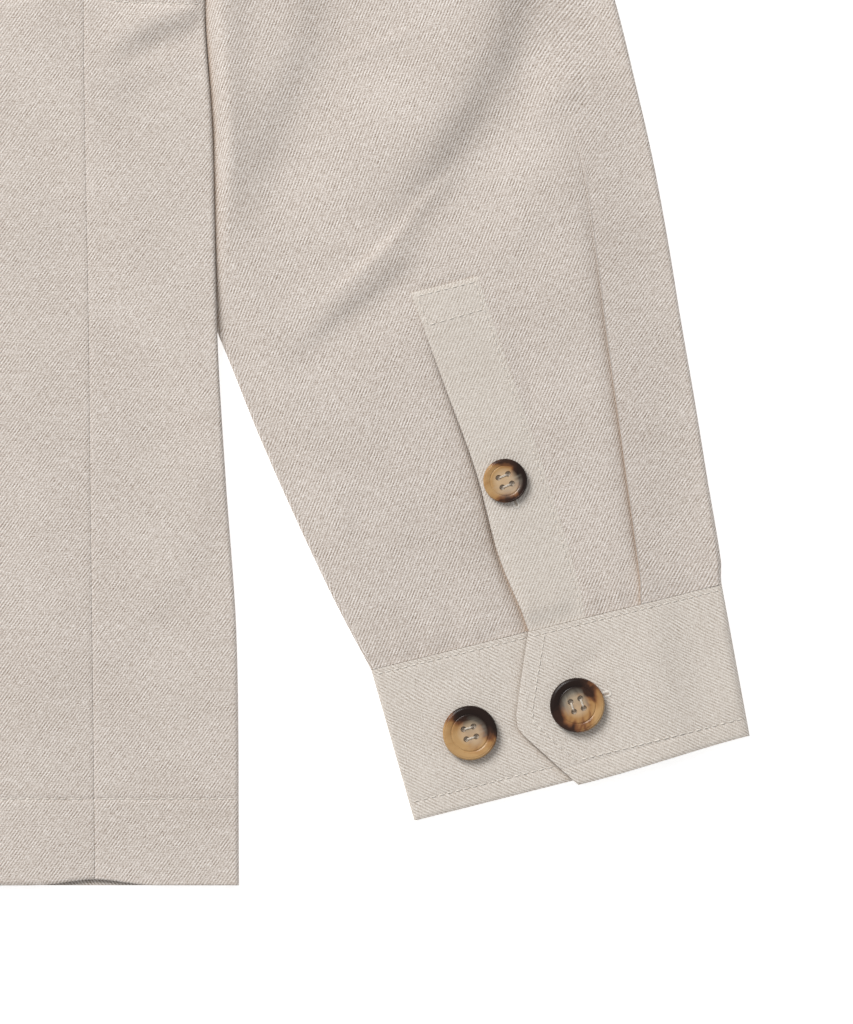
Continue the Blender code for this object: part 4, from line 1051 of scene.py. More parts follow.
def make_cuffs():
    """Each cuff, from the end that laps over, round the wrist, to the end beneath."""
    close = (0, CUFF_ROW_TOP, CUFF_DEPTH - CUFF_ROW_LOW, CUFF_DEPTH)
    depths = joined(places(0, CUFF_DEPTH, step=0.0035, close=close) / CUFF_DEPTH, [0.57])[::-1, None]
    lap = np.interp(depths, *np.array(CUFF_LAP).T)
    inner, outer = (np.array(top) + (np.array(end) - np.array(top)) * depths for top, end in (CUFF_INNER, CUFF_OUTER))
    down = np.array(CUFF_INNER[1]) - np.array(CUFF_INNER[0])
    down /= np.linalg.norm(down)
    tight = (depths < 0.02) * CUFF_TIGHT * down
    inner, outer = inner + tight, outer + tight
    along = outer - inner
    along /= np.linalg.norm(along, axis=-1, keepdims=True)
    start, end = inner + along * CUFF_FOLD, outer - along * CUFF_FOLD
    length = np.linalg.norm(end - start, axis=-1)[:, None]
    over = lap + (CUFF_RAMP[1] - lap) * np.concatenate([[0, 0.004, 0.012, 0.03], np.linspace(0.06, 1, 24)])
    over = np.concatenate([over, np.broadcast_to(np.linspace(CUFF_RAMP[1], 1, 6)[1:], (len(over), 5))], 1)
    # The half beneath has more columns beside the end that laps over it.
    far = lap * np.linspace(0, 1, 26)[:-2]
    near = lap + BESIDE_LAP / length
    under = np.concatenate([far, near, lap + (CUFF_UNDER_END - lap) * np.linspace(0, 1, 9)[1:]], 1)
    rows = groove((1 - depths) * CUFF_ROWS_APART - CUFF_ROW_LOW) + groove(depths * CUFF_ROWS_APART - CUFF_ROW_TOP)
    rows = 0.5 * rows

    top = across_rows(start, end, over)
    reach = CUFF_DROP * depths**2 * smooth(1.0, 0.52, over)
    top = top + reach[..., None] * down
    ramp_down = (CUFF_TOP_HIGH - CUFF_TOP_LOW) * (1 - smooth(*CUFF_RAMP, over))
    height = CUFF_TOP_LOW + ramp_down + rows + ripple(top, CLOTH_RIPPLE, 21) + fold_height(CUFF_FOLDS, top)
    height += 0.5 * groove((over - lap) * length - CUFF_ROW_END)
    height += CUFF_CROWN * smooth(0, CUFF_CROWN_RUN, (1 - over) * length)
    top = roll_edges(with_z(top, height), left=0.0001, low=0.0003, high=0.0001)

    below = across_rows(start, end, under)
    before = (lap - under) * length
    free = smooth(0.5, 0.75, depths)
    height = CUFF_TOP_LOW + rows + ripple(below, BODY_RIPPLE, 22) + fold_height(CUFF_FOLDS, below)
    height += CUFF_CROWN * smooth(0, CUFF_CROWN_RUN, under * length)
    dip = np.where(before > 0, cusp(np.abs(before), CUFF_DIP_NEAR, CUFF_DIP_FAR), -1)
    height += CUFF_DIP * (0.45 + 0.75 * free) * dip
    below = roll_edges(with_z(below, height), low=0.0003, high=0.0001)

    ring = np.concatenate([top, *round_tube(start, end, along, CUFF_FOLD, 18), below], 1)
    # Shade painted into the half beneath, in the crease beside the end that laps over it.
    crease = np.zeros(ring.shape[:2])
    crease[:, -below.shape[1] :] = np.exp(-np.abs(before) / 0.0009) * (before > 0) * (0.2 + 0.8 * free)

    def weave(points, side):
        return unroll(points, SLEEVE_GRAIN * side + 88, (133, 71 * side)) * SLEEVE_WEAVE

    both_sides("cloth_cuff", ring, weave, thickness=FACED, rounded=0.0003, paint=faced_twill, crease=crease)


def collar_shell(name, stations, rows=9):
    """Makes a part of the collar from its stations: a point on the crease and one on the other edge."""
    stations = np.array(stations)
    middles = stations.mean(1)
    knots = np.concatenate([[0], np.cumsum(np.linalg.norm(np.diff(middles, axis=0), axis=-1))])
    at = places(*knots, step=0.0045, close=(knots[0], knots[-1]))
    crease, edge = curve(knots, stations[:, 0], at), curve(knots, stations[:, 1], at)
    down = np.concatenate([[0, 0.012, 0.04], np.linspace(0, 1, rows)[1:-1], [0.96, 0.988, 1]])[:, None, None]
    points = crease + (edge - crease) * down
    crown = COLLAR_CROWN * np.sin(math.pi * down[..., 0])
    points[..., 2] += crown * np.sign(points[..., 2] - COLLAR_CROWN_LEVEL)
    across = np.broadcast_to(at * 1000, points.shape[:2])
    length = np.linalg.norm(edge - crease, axis=-1) * 1000
    uv = np.stack([across, -down[..., 0] * length], -1)
    # The roll goes inward, so it's down on top of the neck and up beneath it.
    from_left, from_right, _, from_low = edge_distance(points)
    for away in (from_left, from_right, from_low):
        turn = COLLAR_TURN * (1 - smooth(0, EDGE_TURN, away))
        points[..., 2] -= turn * np.sign(points[..., 2] - COLLAR_TURN_LEVEL)
    shell(name, points, uv + (57, 333), thickness=FACED, rounded=0.0003)


def half_turn(centre, away, low, high):
    """Points round a fold of the collar, from its top to its underside."""
    points = arc(np.array([centre]), np.array([away]), np.array([low]), np.array([high]), 5)
    return [tuple(point) for point in points[0]]


def stand_turn(station, key):
    """Points round the stand's fold at one edge of a station, square to the line across it."""
    along = np.array(station["seam"]) - np.array(station["crease"])
    along = along / np.linalg.norm(along)
    return half_turn(station[key], (-along[1], along[0]), STAND_LOW, STAND_TOP)


def stations_of(rows, edge, z, edge_z):
    """A table's stations, with their crease and their other edge at these heights."""
    return [((*row["crease"], z), (*row[edge], edge_z)) for row in rows]


def mirrored(stations):
    """Stations on the other side of the collar."""
    return [tuple((-x, y, z) for x, y, z in pair) for pair in stations]


def make_collar():
    """The stand, whose left end laps over the right one, and the leaf that folds down over it."""
    top, last = STAND_TOP, STAND_BACK[-1]
    back = stations_of(STAND_BACK, "seam", STAND_LOW, STAND_LOW)
    fold = list(zip(stand_turn(last, "crease"), stand_turn(last, "seam")))
    front = stations_of([last], "seam", top, top)
    for station in STAND_FRONT:
        turn = math.radians(station["turn"])
        seam = (
            BAND_HALF + (NECK[0] - BAND_HALF - NECK_INSET) * math.sin(turn),
            NECK[1] - (NECK[1] - FRONT_NECK - NECK_INSET) * math.cos(turn),
        )
        front.append(((*station["crease"], top), (*seam, top)))
    left_end = [tuple((x, point[1], top) for point in front[-1]) for x in (0.0, -BAND_HALF)]
    under_end = [tuple((x, point[1], top - STEP) for point in front[-1]) for x in (BAND_HALF, 0.0)]
    right = []
    for crease, seam in front:
        height = top - STEP * float(smooth(*STAND_CROSSES, seam[0]))
        right.append(((-crease[0], crease[1], height), (-seam[0], seam[1], height)))
    half = back[1:] + fold[::-1] + front + left_end
    collar_shell("cloth_collar_stand", under_end + right[::-1] + mirrored(fold) + mirrored(back)[::-1] + half)
    last, away = LEAF_BACK[-1], (0.1, 0.995)
    folds = (half_turn(last[key], away, 0, z) for key, z in (("crease", LEAF_CREASE_TOP), ("edge", LEAF_EDGE_TOP)))
    front = stations_of((last, *LEAF_FRONT), "edge", LEAF_CREASE_TOP, LEAF_EDGE_TOP)
    half = stations_of(LEAF_BACK, "edge", 0.0, 0.0) + list(zip(*folds))[::-1] + front
    collar_shell("cloth_collar", mirrored(half[:0:-1]) + half, rows=13)


def make_pockets():
    """Each patch pocket and flap, on the front below it."""
    for pocket in POCKETS:
        left, right, bottom, top, cut = (pocket[key] for key in ("left", "right", "bottom", "top", "corner"))
        rows = places(bottom, top, step=0.005, close=(bottom, bottom + POCKET_ROW, top))[:, None]
        across = joined(places(0, 1, step=0.035), [0.003, 0.008, 0.017, 0.983, 0.992, 0.997])
        in_by = np.clip(cut - (rows - bottom), 0, None)
        plan = np.stack(np.broadcast_arrays(left + in_by + (right - left - 2 * in_by) * across, rows), -1)
        height = body_height(plan, ROOM) + GAP + WALL + pocket["layer"] * STEP
        away = np.min(edge_distance(plan), axis=0)
        height += POCKET_FULL * smooth(0.002, 0.030, away) + groove(away - POCKET_ROW)
        points = roll_edges(with_z(plan, height), left=0.0005, right=0.0005, low=0.0005, high=0.0004)
        shift = (bottom * 911, top * 577)
        name = f"cloth_{pocket['name']}"
        both_sides(name, points, lambda p, side: grain(p, 0, shift), thickness=DOUBLE, rounded=0.0002)


def seat(names, x, y):
    """The highest point of the named pieces at a place in plan, and the way their cloth faces there."""
    best = None
    for name in names:
        hit, normal, _, _ = tops[name].ray_cast(Vector((x, y - MIDDLE, 0.05)), Vector((0, 0, -1)))
        if hit is not None and (best is None or hit.z > best[0].z):
            best = hit, normal if normal.z > 0 else -normal
    return best


def stitch_row(node, path, on, kind="thread"):
    """Notes a row of stitches along a path in plan, each lying on the cloth below it."""
    path = np.array(path, float)
    run = np.concatenate([[0], np.cumsum(np.linalg.norm(np.diff(path, axis=0), axis=-1))])
    count = int(run[-1] // (STITCH_PITCH if kind == "thread" else SEAM_PITCH))
    at = (np.arange(count) + 0.5) * run[-1] / max(count, 1)
    for middle in at:
        a, b, c = (np.array([np.interp(middle + off, run, path[:, k]) for k in (0, 1)]) for off in (-0.001, 0, 0.001))
        found = seat(on, *b)
        if found:
            stitches.setdefault((node, kind), []).append((found[0], Vector((*(c - a), 0)), found[1]))


def tube_faces(rings, sides):
    """Faces of a closed tube whose vertices are rings, with its two ends."""
    faces = [
        (i * sides + n, i * sides + (n + 1) % sides, (i + 1) * sides + (n + 1) % sides, (i + 1) * sides + n)
        for i in range(rings - 1) for n in range(sides)
    ]
    return faces + [tuple(range(sides))[::-1], tuple(range((rings - 1) * sides, rings * sides))]


def needle_spot(shape, centre=0.0):
    """A flat ring of six points, coloured with painted shade, for a hole that the needle left."""
    turns = [math.pi * n / 3 for n in range(6)]
    return [(centre + shape["long"] * math.cos(t), shape["wide"] * math.sin(t), shape["rise"]) for t in turns]


def stitch_mesh():
    """Vertices and faces of one stitch, with the needle's hole at its end as a spot of painted shade."""
    half = STITCH_LENGTH / 2
    verts = []
    for at, size in STITCH_SPINE:
        z = STITCH_CROWN - STITCH_SUNK * abs(at) ** 3
        for n in range(STITCH_SIDES):
            angle, radius = 2 * math.pi * n / STITCH_SIDES, size * STITCH_WIDTH / 2
            verts.append((at * half, radius * math.cos(angle), z + radius * math.sin(angle)))
    faces = tube_faces(len(STITCH_SPINE), STITCH_SIDES)
    faces.append(tuple(range(len(verts), len(verts) + 6)))
    return verts + needle_spot(NEEDLE_SPOT, half + NEEDLE_SPOT["away"]), faces


def sewn_on(node, name, mesh):
    """Adds a piece of stitching to the cloth that it is sewn on."""
    mesh.materials.append(thread)
    # The second material is the painted shade of the needle's holes and the slits.
    mesh.materials.append(hole_shade)
    mesh.shade_smooth()
    obj = add(name, mesh)
    extras.setdefault(node, []).append(obj)
    return obj


def make_stitches():
    """Makes each piece's stitches of a kind as one mesh."""
    templates = {"thread": stitch_mesh(), "seam": (needle_spot(SEAM_SPOT), [tuple(range(6))])}
    for (node, kind), found in stitches.items():
        template, faces = np.array(templates[kind][0]), templates[kind][1]
        all_verts, all_faces = [], []
        for n, (place, along, normal) in enumerate(found):
            along = (along - normal * along.dot(normal)).normalized()
            turn = np.array([along, normal.cross(along), normal])
            all_verts.append(template @ turn + np.array(place))
            all_faces += [tuple(k + n * len(template) for k in face) for face in faces]
        mesh = bpy.data.meshes.new(f"stitches_{kind}_{node}")
        mesh.from_pydata(np.concatenate(all_verts).tolist(), [], all_faces)
        # The needle's hole at the end of each stitch takes the painted shade.
        holes = [k % len(faces) == len(faces) - 1 for k in range(len(all_faces))]
        mesh.polygons.foreach_set("material_index", holes)
        sewn_on(node, mesh.name, mesh)


def make_buttonhole(node, on, centre, angle, length):
    """Works a buttonhole through a piece: a ring of close thread round a slit."""
    place, normal = seat(on, *centre)
    form = bmesh.new()
    straight, wide, sides = length / 2 - BUTTONHOLE_HALF, BUTTONHOLE_HALF, 8
    ring, loops = [], []
    for n in range(40):
        c, s = math.cos(2 * math.pi * n / 40), math.sin(2 * math.pi * n / 40)
        ring.append((c * wide * 0.9 + math.copysign(straight, c), s * wide * 0.9))
    for n, (x, y) in enumerate(ring):
        bead = 1 + 0.10 * (n % 2)
        out = Vector((x - math.copysign(min(abs(x), straight), x), y, 0)).normalized() * wide * 0.52 * bead
        loop = []
        for k in range(sides):
            turn = 2 * math.pi * k / sides
            up = Vector((0, 0, BUTTONHOLE_RISE * bead * math.sin(turn)))
            loop.append(form.verts.new(Vector((x, y, 0)) + out * math.cos(turn) + up))
        loops.append(loop)
    for a, b in zip(loops, loops[1:] + loops[:1]):
        for k in range(sides):
            form.faces.new((a[k], a[(k + 1) % sides], b[(k + 1) % sides], b[k]))
    # The slit is a flat face of painted shade.
    slit = [form.verts.new((x * 0.97, y * 0.7, SLIT_RISE)) for x, y in ring]
    form.faces.new(slit).material_index = 1
    mesh = bpy.data.meshes.new(f"buttonhole_{node}")
    form.to_mesh(mesh)
    form.free()
    obj = sewn_on(node, f"buttonhole_{node}_{len(extras.get(node, ()))}", mesh)
    along = Vector((math.cos(angle), math.sin(angle), 0))
    along = (along - normal * along.dot(normal)).normalized()
    turn = Matrix((along, normal.cross(along), normal)).transposed().to_4x4()
    obj.matrix_world = Matrix.Translation(place) @ turn


def connect(tree, made, sockets):
    """Sets a node's inputs by name or number, to a value or to another node's output."""
    for key, value in dict(sockets).items():
        if isinstance(value, bpy.types.NodeSocket):
            tree.links.new(value, made.inputs[key])
        else:
            made.inputs[key].default_value = value


def node(tree, kind, sockets=(), **attributes):
    """Adds a shader node."""
    made = tree.nodes.new(kind)
    for key, value in attributes.items():
        setattr(made, key, value)
    connect(tree, made, sockets)
    return made


def maths(tree, operation, *values):
    """Adds a node that works out a number."""
    return node(tree, "ShaderNodeMath", enumerate(values), operation=operation).outputs[0]


def vector_maths(tree, operation, *values):
    """Adds a node that works out a vector, or a number from vectors."""
    made = node(tree, "ShaderNodeVectorMath", enumerate(values), operation=operation)
    return made.outputs["Value" if operation in ("DOT_PRODUCT", "LENGTH") else "Vector"]


def noise(tree, vector, scale, detail=2.0, distortion=0.0):
    """Noise between about 0.25 and 0.75, with its own scale for each axis."""
    scaled = vector_maths(tree, "MULTIPLY", vector, scale)
    sockets = {"Vector": scaled, "Scale": 1.0, "Detail": detail, "Distortion": distortion}
    return node(tree, "ShaderNodeTexNoise", sockets).outputs["Fac"]


def about_none(tree, value):
    """Noise moved so that it is about as often below 0 as above it."""
    return maths(tree, "SUBTRACT", value, 0.5)


def ramp(tree, value, stops):
    """A colour for each value, from stops of a place and a colour."""
    made = node(tree, "ShaderNodeValToRGB", {0: value})
    while len(made.color_ramp.elements) < len(stops):
        made.color_ramp.elements.new(0.5)
    for element, (place, colour) in zip(made.color_ramp.elements, stops):
        element.position = place
        element.color = (*colour, 1)
    return made.outputs[0]


def mixed(tree, share, first, second):
    """A share of a second colour mixed into the output of a first."""
    return node(tree, "ShaderNodeMix", {0: share, 6: first, 7: (*second, 1)}, data_type="RGBA").outputs[2]


def bump(tree, strength, distance, height):
    """Adds a fine relief of the surface."""
    sockets = {"Strength": strength, "Distance": distance, "Height": height}
    return node(tree, "ShaderNodeBump", sockets).outputs[0]


def new_material(name, colour):
    """A material with the colour that plain views give it, its node tree and its shader."""
    made = bpy.data.materials.new(name)
    made.use_nodes = True
    made.diffuse_color = (*colour, 1)
    tree = made.node_tree
    return made, tree, tree.nodes["Principled BSDF"]


def twill_material(name, lighter=0.0, contrast=1.0, tint=(1.0, 1.0, 1.02)):
    """A melange twill: diagonal ribs of uneven yarn, with paler and darker threads, a few dark flecks and a warm shade
    painted into its creases.
    """
    made, tree, shader = new_material(name, (0.52, 0.47, 0.42))
    cloth = node(tree, "ShaderNodeUVMap", uv_map=CLOTH_MAP).outputs[0]
    across = (math.sin(RIB_ANGLE) / RIB_PITCH, -math.cos(RIB_ANGLE) / RIB_PITCH, 0)
    phase = vector_maths(tree, "DOT_PRODUCT", cloth, across)
    parts = {weave["part"]: noise(tree, cloth, weave["scale"]) for weave in WEAVE}
    rib = maths(tree, "MULTIPLY", maths(tree, "MULTIPLY_ADD", parts["fine"], RIB_BEND, phase), 2 * math.pi)
    rib = maths(tree, "SINE", rib)
    patch = about_none(tree, noise(tree, cloth, PATCH_SCALE, detail=1.0))
    tone = maths(tree, "MULTIPLY", rib, maths(tree, "MULTIPLY_ADD", patch, RIB_PATCHES, RIB_TONE))
    for weave in WEAVE:
        part = maths(tree, "MULTIPLY", about_none(tree, parts[weave["part"]]), weave["amount"])
        tone = maths(tree, "ADD", tone, part)
    tone = maths(tree, "MULTIPLY_ADD", tone, contrast, 0.5 + lighter)
    yarn = [(place, tuple(part * share for part, share in zip(shade, tint))) for place, shade in YARN]
    fleck = ramp(tree, noise(tree, cloth, FLECK_SCALE, detail=1.0), ((0.70, BLACK), (0.78, WHITE)))
    colour = mixed(tree, maths(tree, "MULTIPLY", fleck, FLECK_SHARE * contrast), ramp(tree, tone, yarn), FLECK)
    # The shade painted into creases draws the colour towards a warm brown.
    crease = node(tree, "ShaderNodeAttribute", attribute_name=CREASE_SHADE_MAP).outputs["Fac"]
    yarns = maths(tree, "MULTIPLY", maths(tree, "ADD", parts["fine"], parts["weft"]), 0.8)
    relief = maths(tree, "MULTIPLY_ADD", rib, 0.30, yarns)
    looks = {
        "Base Color": mixed(tree, maths(tree, "MULTIPLY", crease, CREASE_SHADE_SHARE), colour, CREASE_SHADE),
        "Normal": bump(tree, 0.75, WEAVE_DEPTH, relief),
        "Roughness": 0.92, "Specular IOR Level": 0.18, "Sheen Weight": 0.18, "Sheen Roughness": 0.5,
    }
    connect(tree, shader, looks)
    return made


def thread_material(name, colour):
    """Sewing thread, in two shades that change along it."""
    made, tree, shader = new_material(name, colour)
    uneven = noise(tree, node(tree, "ShaderNodeTexCoord").outputs["Object"], THREAD_SCALE)
    stops = [(place, tuple(part * shade for part in colour)) for place, shade in ((0.35, 0.72), (0.65, 1.12))]
    looks = {
        "Base Color": ramp(tree, uneven, stops), "Normal": bump(tree, 0.6, THREAD_DEPTH, uneven),
        "Roughness": 0.8, "Sheen Weight": 0.15,
    }
    connect(tree, shader, looks)
    return made


def horn_material(horn):
    """Polished horn: caramel that runs through brown into near black on one side, with a grey bloom."""
    made, tree, shader = new_material(f"horn_{horn['name']}", (0.28, 0.16, 0.07))
    local = node(tree, "ShaderNodeTexCoord").outputs["Object"]
    units = (2 / BUTTON_LARGE, 2 / BUTTON_LARGE, 0.6 / BUTTON_LARGE)
    place = vector_maths(tree, "MULTIPLY", local, units)
    moved = vector_maths(tree, "ADD", place, (horn["seed"], -horn["seed"], 2 * horn["seed"]))
    flow = noise(tree, moved, (1.15, 1.15, 1), detail=3.0, distortion=0.5)
    fibre = noise(tree, moved, (1.0, 4.5, 1), detail=3.0, distortion=0.4)

    def toward(angle):
        way = (math.cos(math.radians(angle)), math.sin(math.radians(angle)), 0)
        return vector_maths(tree, "DOT_PRODUCT", place, way)

    away = vector_maths(tree, "LENGTH", place)
    shade = maths(tree, "MULTIPLY_ADD", toward(horn["dark"]), 0.50, horn["bias"] - 0.30)
    shade = maths(tree, "MULTIPLY_ADD", flow, 1.45, shade)
    shade = maths(tree, "MULTIPLY_ADD", ramp(tree, away, ((0.45, BLACK), (0.72, WHITE))), 0.20, shade)
    shade = maths(tree, "MULTIPLY_ADD", about_none(tree, fibre), 0.18, shade)
    cool = maths(tree, "MULTIPLY_ADD", fibre, 0.9, maths(tree, "MULTIPLY", toward(horn["grey"]), 0.55))
    cool = ramp(tree, cool, ((0.42, BLACK), (0.85, WHITE)))
    inside = ramp(tree, away, ((0.45, WHITE), (0.66, BLACK)))
    cool = maths(tree, "MULTIPLY", maths(tree, "MULTIPLY", cool, inside), 0.55)
    colour = mixed(tree, cool, ramp(tree, shade, HORN_SHADES), HORN_GREY)
    middle = maths(tree, "MULTIPLY", ramp(tree, away, ((0.30, WHITE), (0.50, BLACK))), 0.62)
    looks = {
        "Base Color": mixed(tree, middle, colour, HORN_PALE), "Roughness": 0.30, "Specular IOR Level": 0.22,
        "Coat Weight": 0.08, "Coat Roughness": 0.12,
    }
    connect(tree, shader, looks)
    return made


def button_mesh(width):
    """A turned button: a rounded rim, a ring cut inside it, a dished middle and four holes."""
    radius = width / 2
    turns = [2 * math.pi * n / BUTTON_SIDES for n in range(BUTTON_SIDES)]
    verts = [(radius * r * math.cos(t), radius * r * math.sin(t), radius * z) for r, z in BUTTON_PROFILE for t in turns]
    mesh = bpy.data.meshes.new("button")
    mesh.from_pydata(verts, [], tube_faces(len(BUTTON_PROFILE), BUTTON_SIDES))
    form = bmesh.new()
    for n in range(4):
        angle = math.radians(45 + 90 * n)
        for low, high, wide in HOLE_CUTS:
            middle = (HOLE_AWAY * math.cos(angle), HOLE_AWAY * math.sin(angle), radius * (low + high) / 2)
            bmesh.ops.create_cone(
                form, cap_ends=True, segments=HOLE_SIDES, radius1=HOLE_RADIUS, radius2=HOLE_RADIUS * wide,
                depth=radius * (high - low), matrix=Matrix.Translation(middle),
            )
    cutter = bpy.data.meshes.new("holes")
    form.to_mesh(cutter)
    form.free()
    blank, holes = add("blank", mesh), add("holes", cutter)
    cut = blank.modifiers.new("holes", "BOOLEAN")
    cut.operation, cut.solver, cut.object = "DIFFERENCE", "EXACT", holes
    cut.use_self = True
    made = bpy.data.meshes.new_from_object(blank.evaluated_get(bpy.context.evaluated_depsgraph_get()))
    for obj in (blank, holes):
        bpy.data.objects.remove(obj)
    made.shade_smooth()
    made.set_sharp_from_angle(angle=math.radians(38))
    made.materials.clear()
    return made


def button_thread(radius):
    """Two bars of thread from hole to hole, what shows of it down in each hole, and the shank below."""
    form = bmesh.new()
    reach, top = HOLE_AWAY * math.sqrt(0.5), radius * BUTTON_FACE
    turns = [2 * math.pi * k / STRAND_SIDES for k in range(STRAND_SIDES)]
    for row in (-1, 1):
        for off in (-0.65, 0.65):
            loops = []
            for t in np.linspace(-1, 1, 15):
                rise = 0.5 - 5.0 * max(0, abs(t) - 0.60) / 0.40
                y = row * reach + STRAND * 1.5 * off * (1 - 0.3 * abs(t))
                centre = Vector((0.86 * reach * t, y, top + STRAND * rise))
                round_it = [Vector((0, STRAND * math.cos(turn), STRAND * math.sin(turn))) for turn in turns]
                loops.append([form.verts.new(centre + away) for away in round_it])
            for a, b in zip(loops, loops[1:]):
                for k in range(STRAND_SIDES):
                    following = (k + 1) % STRAND_SIDES
                    form.faces.new((a[k], b[k], b[following], a[following]))
        for end in (-1, 1):
            at = Matrix.Translation((end * reach, row * reach, top - PLUG_DEPTH))
            bmesh.ops.create_circle(form, cap_ends=True, segments=16, radius=HOLE_RADIUS * 0.98, matrix=at)
    bmesh.ops.create_cone(
        form, cap_ends=True, segments=16, radius1=radius * 0.30, radius2=radius * 0.34, depth=GAP + 0.0004,
        matrix=Matrix.Translation((0, 0, -(GAP - 0.0002) / 2)),
    )
    mesh = bpy.data.meshes.new("button_thread")
    form.to_mesh(mesh)
    form.free()
    mesh.shade_smooth()
    mesh.materials.append(button_cotton)
    return mesh


def button_spots():
    """Each button's node, place, width, horn, the cloth that it is sewn on and the turn of its holes."""
    for n, y in enumerate(FRONT_BUTTONS, 1):
        yield f"button_front_{n}", 0.0, y, BUTTON_LARGE, "plain", "cloth_front_band", 20 * n
    yield "button_stand", 0.0, STAND_BUTTON, BUTTON_SMALL, "plain", "cloth_collar_stand", 70
    for side, which in SIDES:
        for spec in SLEEVE_BUTTONS:
            on = f"cloth_{spec['on']}_{which}"
            x = side * spec["x"]
            yield f"{spec['name']}_{which}", x, spec["y"], spec["width"], spec["horn"], on, spec["turn"]
        for flap in (pocket for pocket in POCKETS if pocket["layer"]):
            x = side * (flap["left"] + flap["right"]) / 2
            y = flap["bottom"] + FLAP_BUTTON_RISE
            name = f"{flap['name']}_{which}"
            yield f"button_{name}", x, y, BUTTON_SMALL, "plain", f"cloth_{name}", 130


def make_buttons():
    """Sews each button on, square to the cloth that it closes."""
    bodies = {width: button_mesh(width) for width in (BUTTON_LARGE, BUTTON_SMALL)}
    threads = {width: button_thread(width / 2) for width in bodies}
    kinds = {horn["name"]: horn_material(horn) for horn in HORNS}
    for name, x, y, width, kind, on, turn in button_spots():
        reach = width * 0.42
        rim = [seat([on], x + reach * math.cos(a), y + reach * math.sin(a)) for a in np.linspace(0, 5.5, 8)]
        rim = [found[0] for found in rim if found]
        level = np.array([(p.x, p.y, 1) for p in rim]), np.array([p.z for p in rim])
        plane = np.linalg.lstsq(*level, rcond=None)[0]
        normal = Vector((-plane[0], -plane[1], 1)).normalized()
        height = max(p.z - (plane[0] * p.x + plane[1] * p.y) for p in rim + [seat([on], x, y)[0]])
        z = plane[0] * x + plane[1] * (y - MIDDLE) + height + BUTTON_CLEAR
        tilt = Vector((0, 0, 1)).rotation_difference(normal).to_matrix().to_4x4()
        spin = Matrix.Rotation(math.radians(turn), 4, "Z")
        button = add(f"horn_{name}", bodies[width].copy())
        button.data.materials.append(kinds[kind])
        cotton = add(f"thread_{name}", threads[width])
        for obj in (button, cotton):
            obj.matrix_world = Matrix.Translation((x, y - MIDDLE, z)) @ tilt @ spin
            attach(obj, "root")
        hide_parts(name)


def body_row(level, stop):
    """Plan path of a row of stitches that keeps to one of the body's levels."""
    xs = np.linspace(BAND_HALF + 0.001, stop, 60)
    return np.stack([xs, body_levels(xs, level)], -1)


def across_sleeve(section, share):
    """A place on the sleeve's placket, by its section and the share of the placket's width."""
    knots = range(len(SLEEVE_SECTIONS))
    found = {key: np.interp(section, knots, listed(SLEEVE_SECTIONS, key)) for key in SLEEVE_SECTIONS[0]}
    start = np.array([found["x"], found["y"]])
    end = np.array([float(through(SLEEVE_OUTER, "x", found["outer_y"])), found["outer_y"]])
    along = (end - start) / np.linalg.norm(end - start)
    start, end = start + along * SLEEVE_FOLD, end - along * SLEEVE_FOLD
    at = found["left"] + (found["right"] - found["left"]) * share
    return tuple(start + (end - start) * at)


def cuff_place(depth, share):
    """A place on the cuff, by shares of its depth and of its width."""
    inner, outer = (np.array(top) * (1 - depth) + np.array(end) * depth for top, end in (CUFF_INNER, CUFF_OUTER))
    return inner + (outer - inner) * share


def cuff_rows():
    """Paths of a cuff's stitches: beside its seam, beside its lower edge and beside the end that laps over."""
    top, low = CUFF_ROW_TOP / CUFF_SEWN_DEPTH, 1 - CUFF_ROW_LOW / CUFF_SEWN_DEPTH

    def lap(depth):
        return float(np.interp(depth, *np.array(CUFF_LAP).T)) + CUFF_ROW_END / CUFF_SEWN_WIDTH

    rows = [(top, 0.455, 0.99), (top, 0.01, 0.438), (low, lap(low) + 0.01, 0.99), (low, 0.01, 0.43)]
    paths = [[cuff_place(depth, low_share), cuff_place(depth, high_share)] for depth, low_share, high_share in rows]
    return paths + [[cuff_place(depth, lap(depth)) for depth in (top, 0.3, 0.5, 0.57, 0.70, low)]]


def placket_rows():
    """Paths of a placket's stitches: along its sewn edge, and a box at its top."""
    edge, top = EDGE_STITCH / PLACKET_WIDTH, PLACKET_TOP - 0.05
    return (
        [across_sleeve(s, 1 - edge) for s in np.linspace(0.05, top, 20)],
        [across_sleeve(top, edge), across_sleeve(top, 1 - edge)],
        [across_sleeve(s, edge) for s in np.linspace(top, PLACKET_CROSS, 5)],
        [across_sleeve(PLACKET_CROSS, edge), across_sleeve(PLACKET_CROSS + 0.02, 1 - edge)],
    )


def collar_row():
    """Path of the stitches beside the left half of the leaf's edge, on top."""
    edges = [np.array(edge) for edge in listed(LEAF_FRONT, "edge")]
    creases = [np.array(crease) for crease in listed(LEAF_FRONT, "crease")]
    path = []
    for edge, crease in zip(edges, creases):
        path.append(edge + (crease - edge) / np.linalg.norm(crease - edge) * LEAF_ROW)
    along = (edges[-2] - edges[-1]) / np.linalg.norm(edges[-2] - edges[-1]) * LEAF_ROW
    path[-1] = path[-1] + along
    return path + [creases[-1] + along * 1.1]


